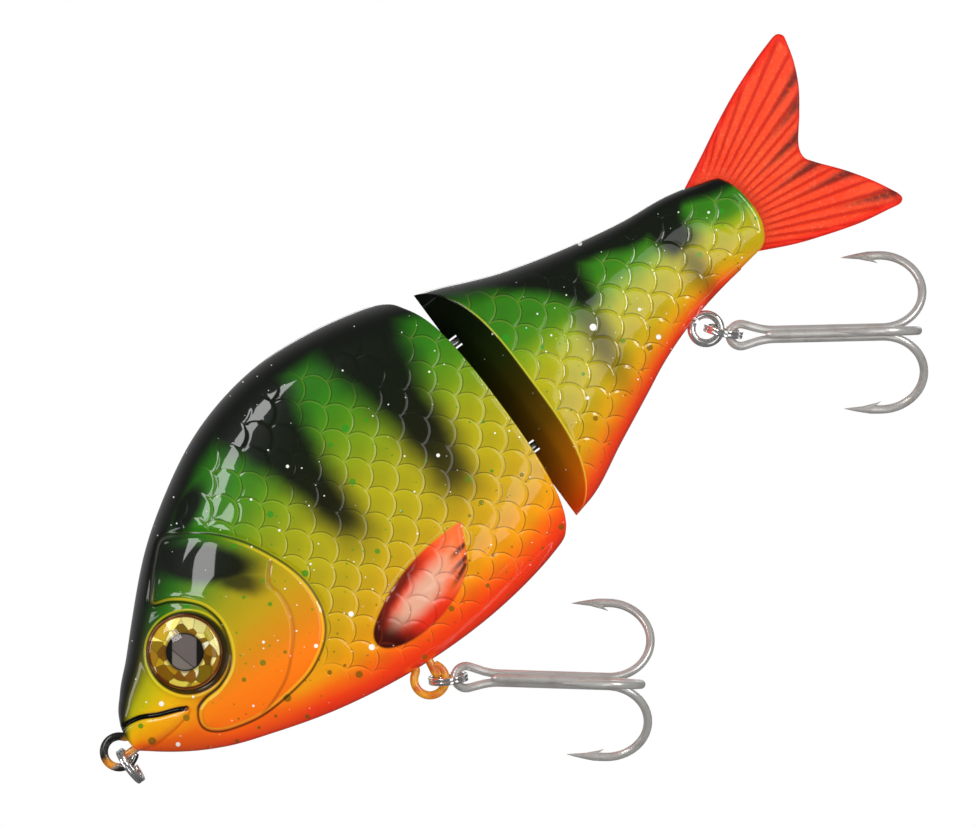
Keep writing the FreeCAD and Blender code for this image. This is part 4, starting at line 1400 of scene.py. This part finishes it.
def floor():
    made, shader, _ = material("floor")
    surface(shader, Base_Color=rgb(160, 160, 158), Roughness=0.6, Emission_Color=(1.0, 1.0, 1.0),
            Emission_Strength=0.55)
    corners = [(x * FLOOR_HALF, y * FLOOR_HALF, FLOOR_Z) for x, y in ((-1, -1), (1, -1), (1, 1), (-1, 1))]
    obj = new_object("floor", corners, [(0, 1, 2, 3)])
    obj.data.materials.append(made)
    obj.visible_glossy = False


# ---- assembly

# name, CAD node, middle, radius, direction of the legs, their length, half of the mouth in degrees
STAPLES = (("nose_eye", "line_tie_eye", (-96.5, 0, -10.45), 2.95, 0, 8, 40),
           ("belly_eye", "belly_hanger_eye", (-40.9, 0, -34.5), 3.0, 80, 4.0, 42))
REAR_EYE_DEG = 105
REAR_EYE_AT = (40.9, 0, -12.1)
REAR_EYE_R = 2.75
HINGE_EYE_R = 1.8
# hook name, the hanger's middle as (x, z), the chain's fall and the hook's fall in degrees
CHAINS = (("belly", (-41.0, -34.8), 30, 38.3), ("rear", (40.95, -11.95), 48, 35.2))


def plain_part(obj, mat):
    """CAD part that keeps its own shape."""
    for k in range(len(obj.data.materials)):
        obj.data.materials[k] = mat
    if not obj.data.materials:
        obj.data.materials.append(mat)
    obj.data.shade_smooth()


def build():
    front_paint = paint_material("front_paint", False)
    rear_paint = paint_material("rear_paint", True)
    foil = foil_material()
    lens = lens_material()
    wire_paint = painted_wire_material("painted_wire")
    steel = metal_material("steel_wire", (222, 222, 220), 0.14, (178, 172, 162), 0.85)
    chrome = metal_material("ring_chrome", (244, 244, 244), 0.10, (216, 214, 210), 0.9)
    nickel = metal_material("hook_nickel", (206, 204, 200), 0.28, (168, 156, 146), 0.60)
    weights = metal_material("weight_metal", (120, 120, 124), 0.5, (90, 90, 92))
    for side in (-1, 1):
        front_skin(side, front_paint)
        rear_skin(side, rear_paint)
        eye_foil(side, foil)
        eye_lens(side, lens)
    for entry in STAPLES:
        staple(*entry, wire_paint)
    screw_eye("rear_hanger_eye", "rear_section", REAR_EYE_AT, REAR_EYE_R, 0.78, heading(REAR_EYE_DEG),
              heading(REAR_EYE_DEG + 90), 7.0, steel)
    split_ring("nose_ring", "line_ring", "line_link", 90, 5, chrome)
    for name, (x, z), chain_fall, hook_fall in CHAINS:
        split_ring(name + "_split_ring", name + "_ring", name + "_link", chain_fall, 8, chrome)
        eye = np.array([x, 0, z]) + 2 * RING_R * heading(-chain_fall)
        treble(name + "_treble", name + "_treble_hook", name + "_hook", eye, hook_fall, nickel)
    pin = joint_place("section_hinge")
    for name in ("hinge_eye_upper", "hinge_eye_lower"):
        low, _, middle = node_box(name)
        screw_eye(name, "front_section", (pin.x, 0, middle.z), HINGE_EYE_R, 0.75, heading(180), ACROSS,
                  pin.x - 1.5 - low.x, steel)
    tail_fin(tail_material())
    for name in ("hinge_pin", "tail_pin"):
        plain_part(frame["nodes"][name], steel)
    for name in ("front_ballast_fore", "front_ballast_aft", "rear_ballast"):
        plain_part(frame["nodes"][name], weights)


build()
world()
floor()
lights()
camera()
bpy.context.scene.view_settings.view_transform = "Standard"
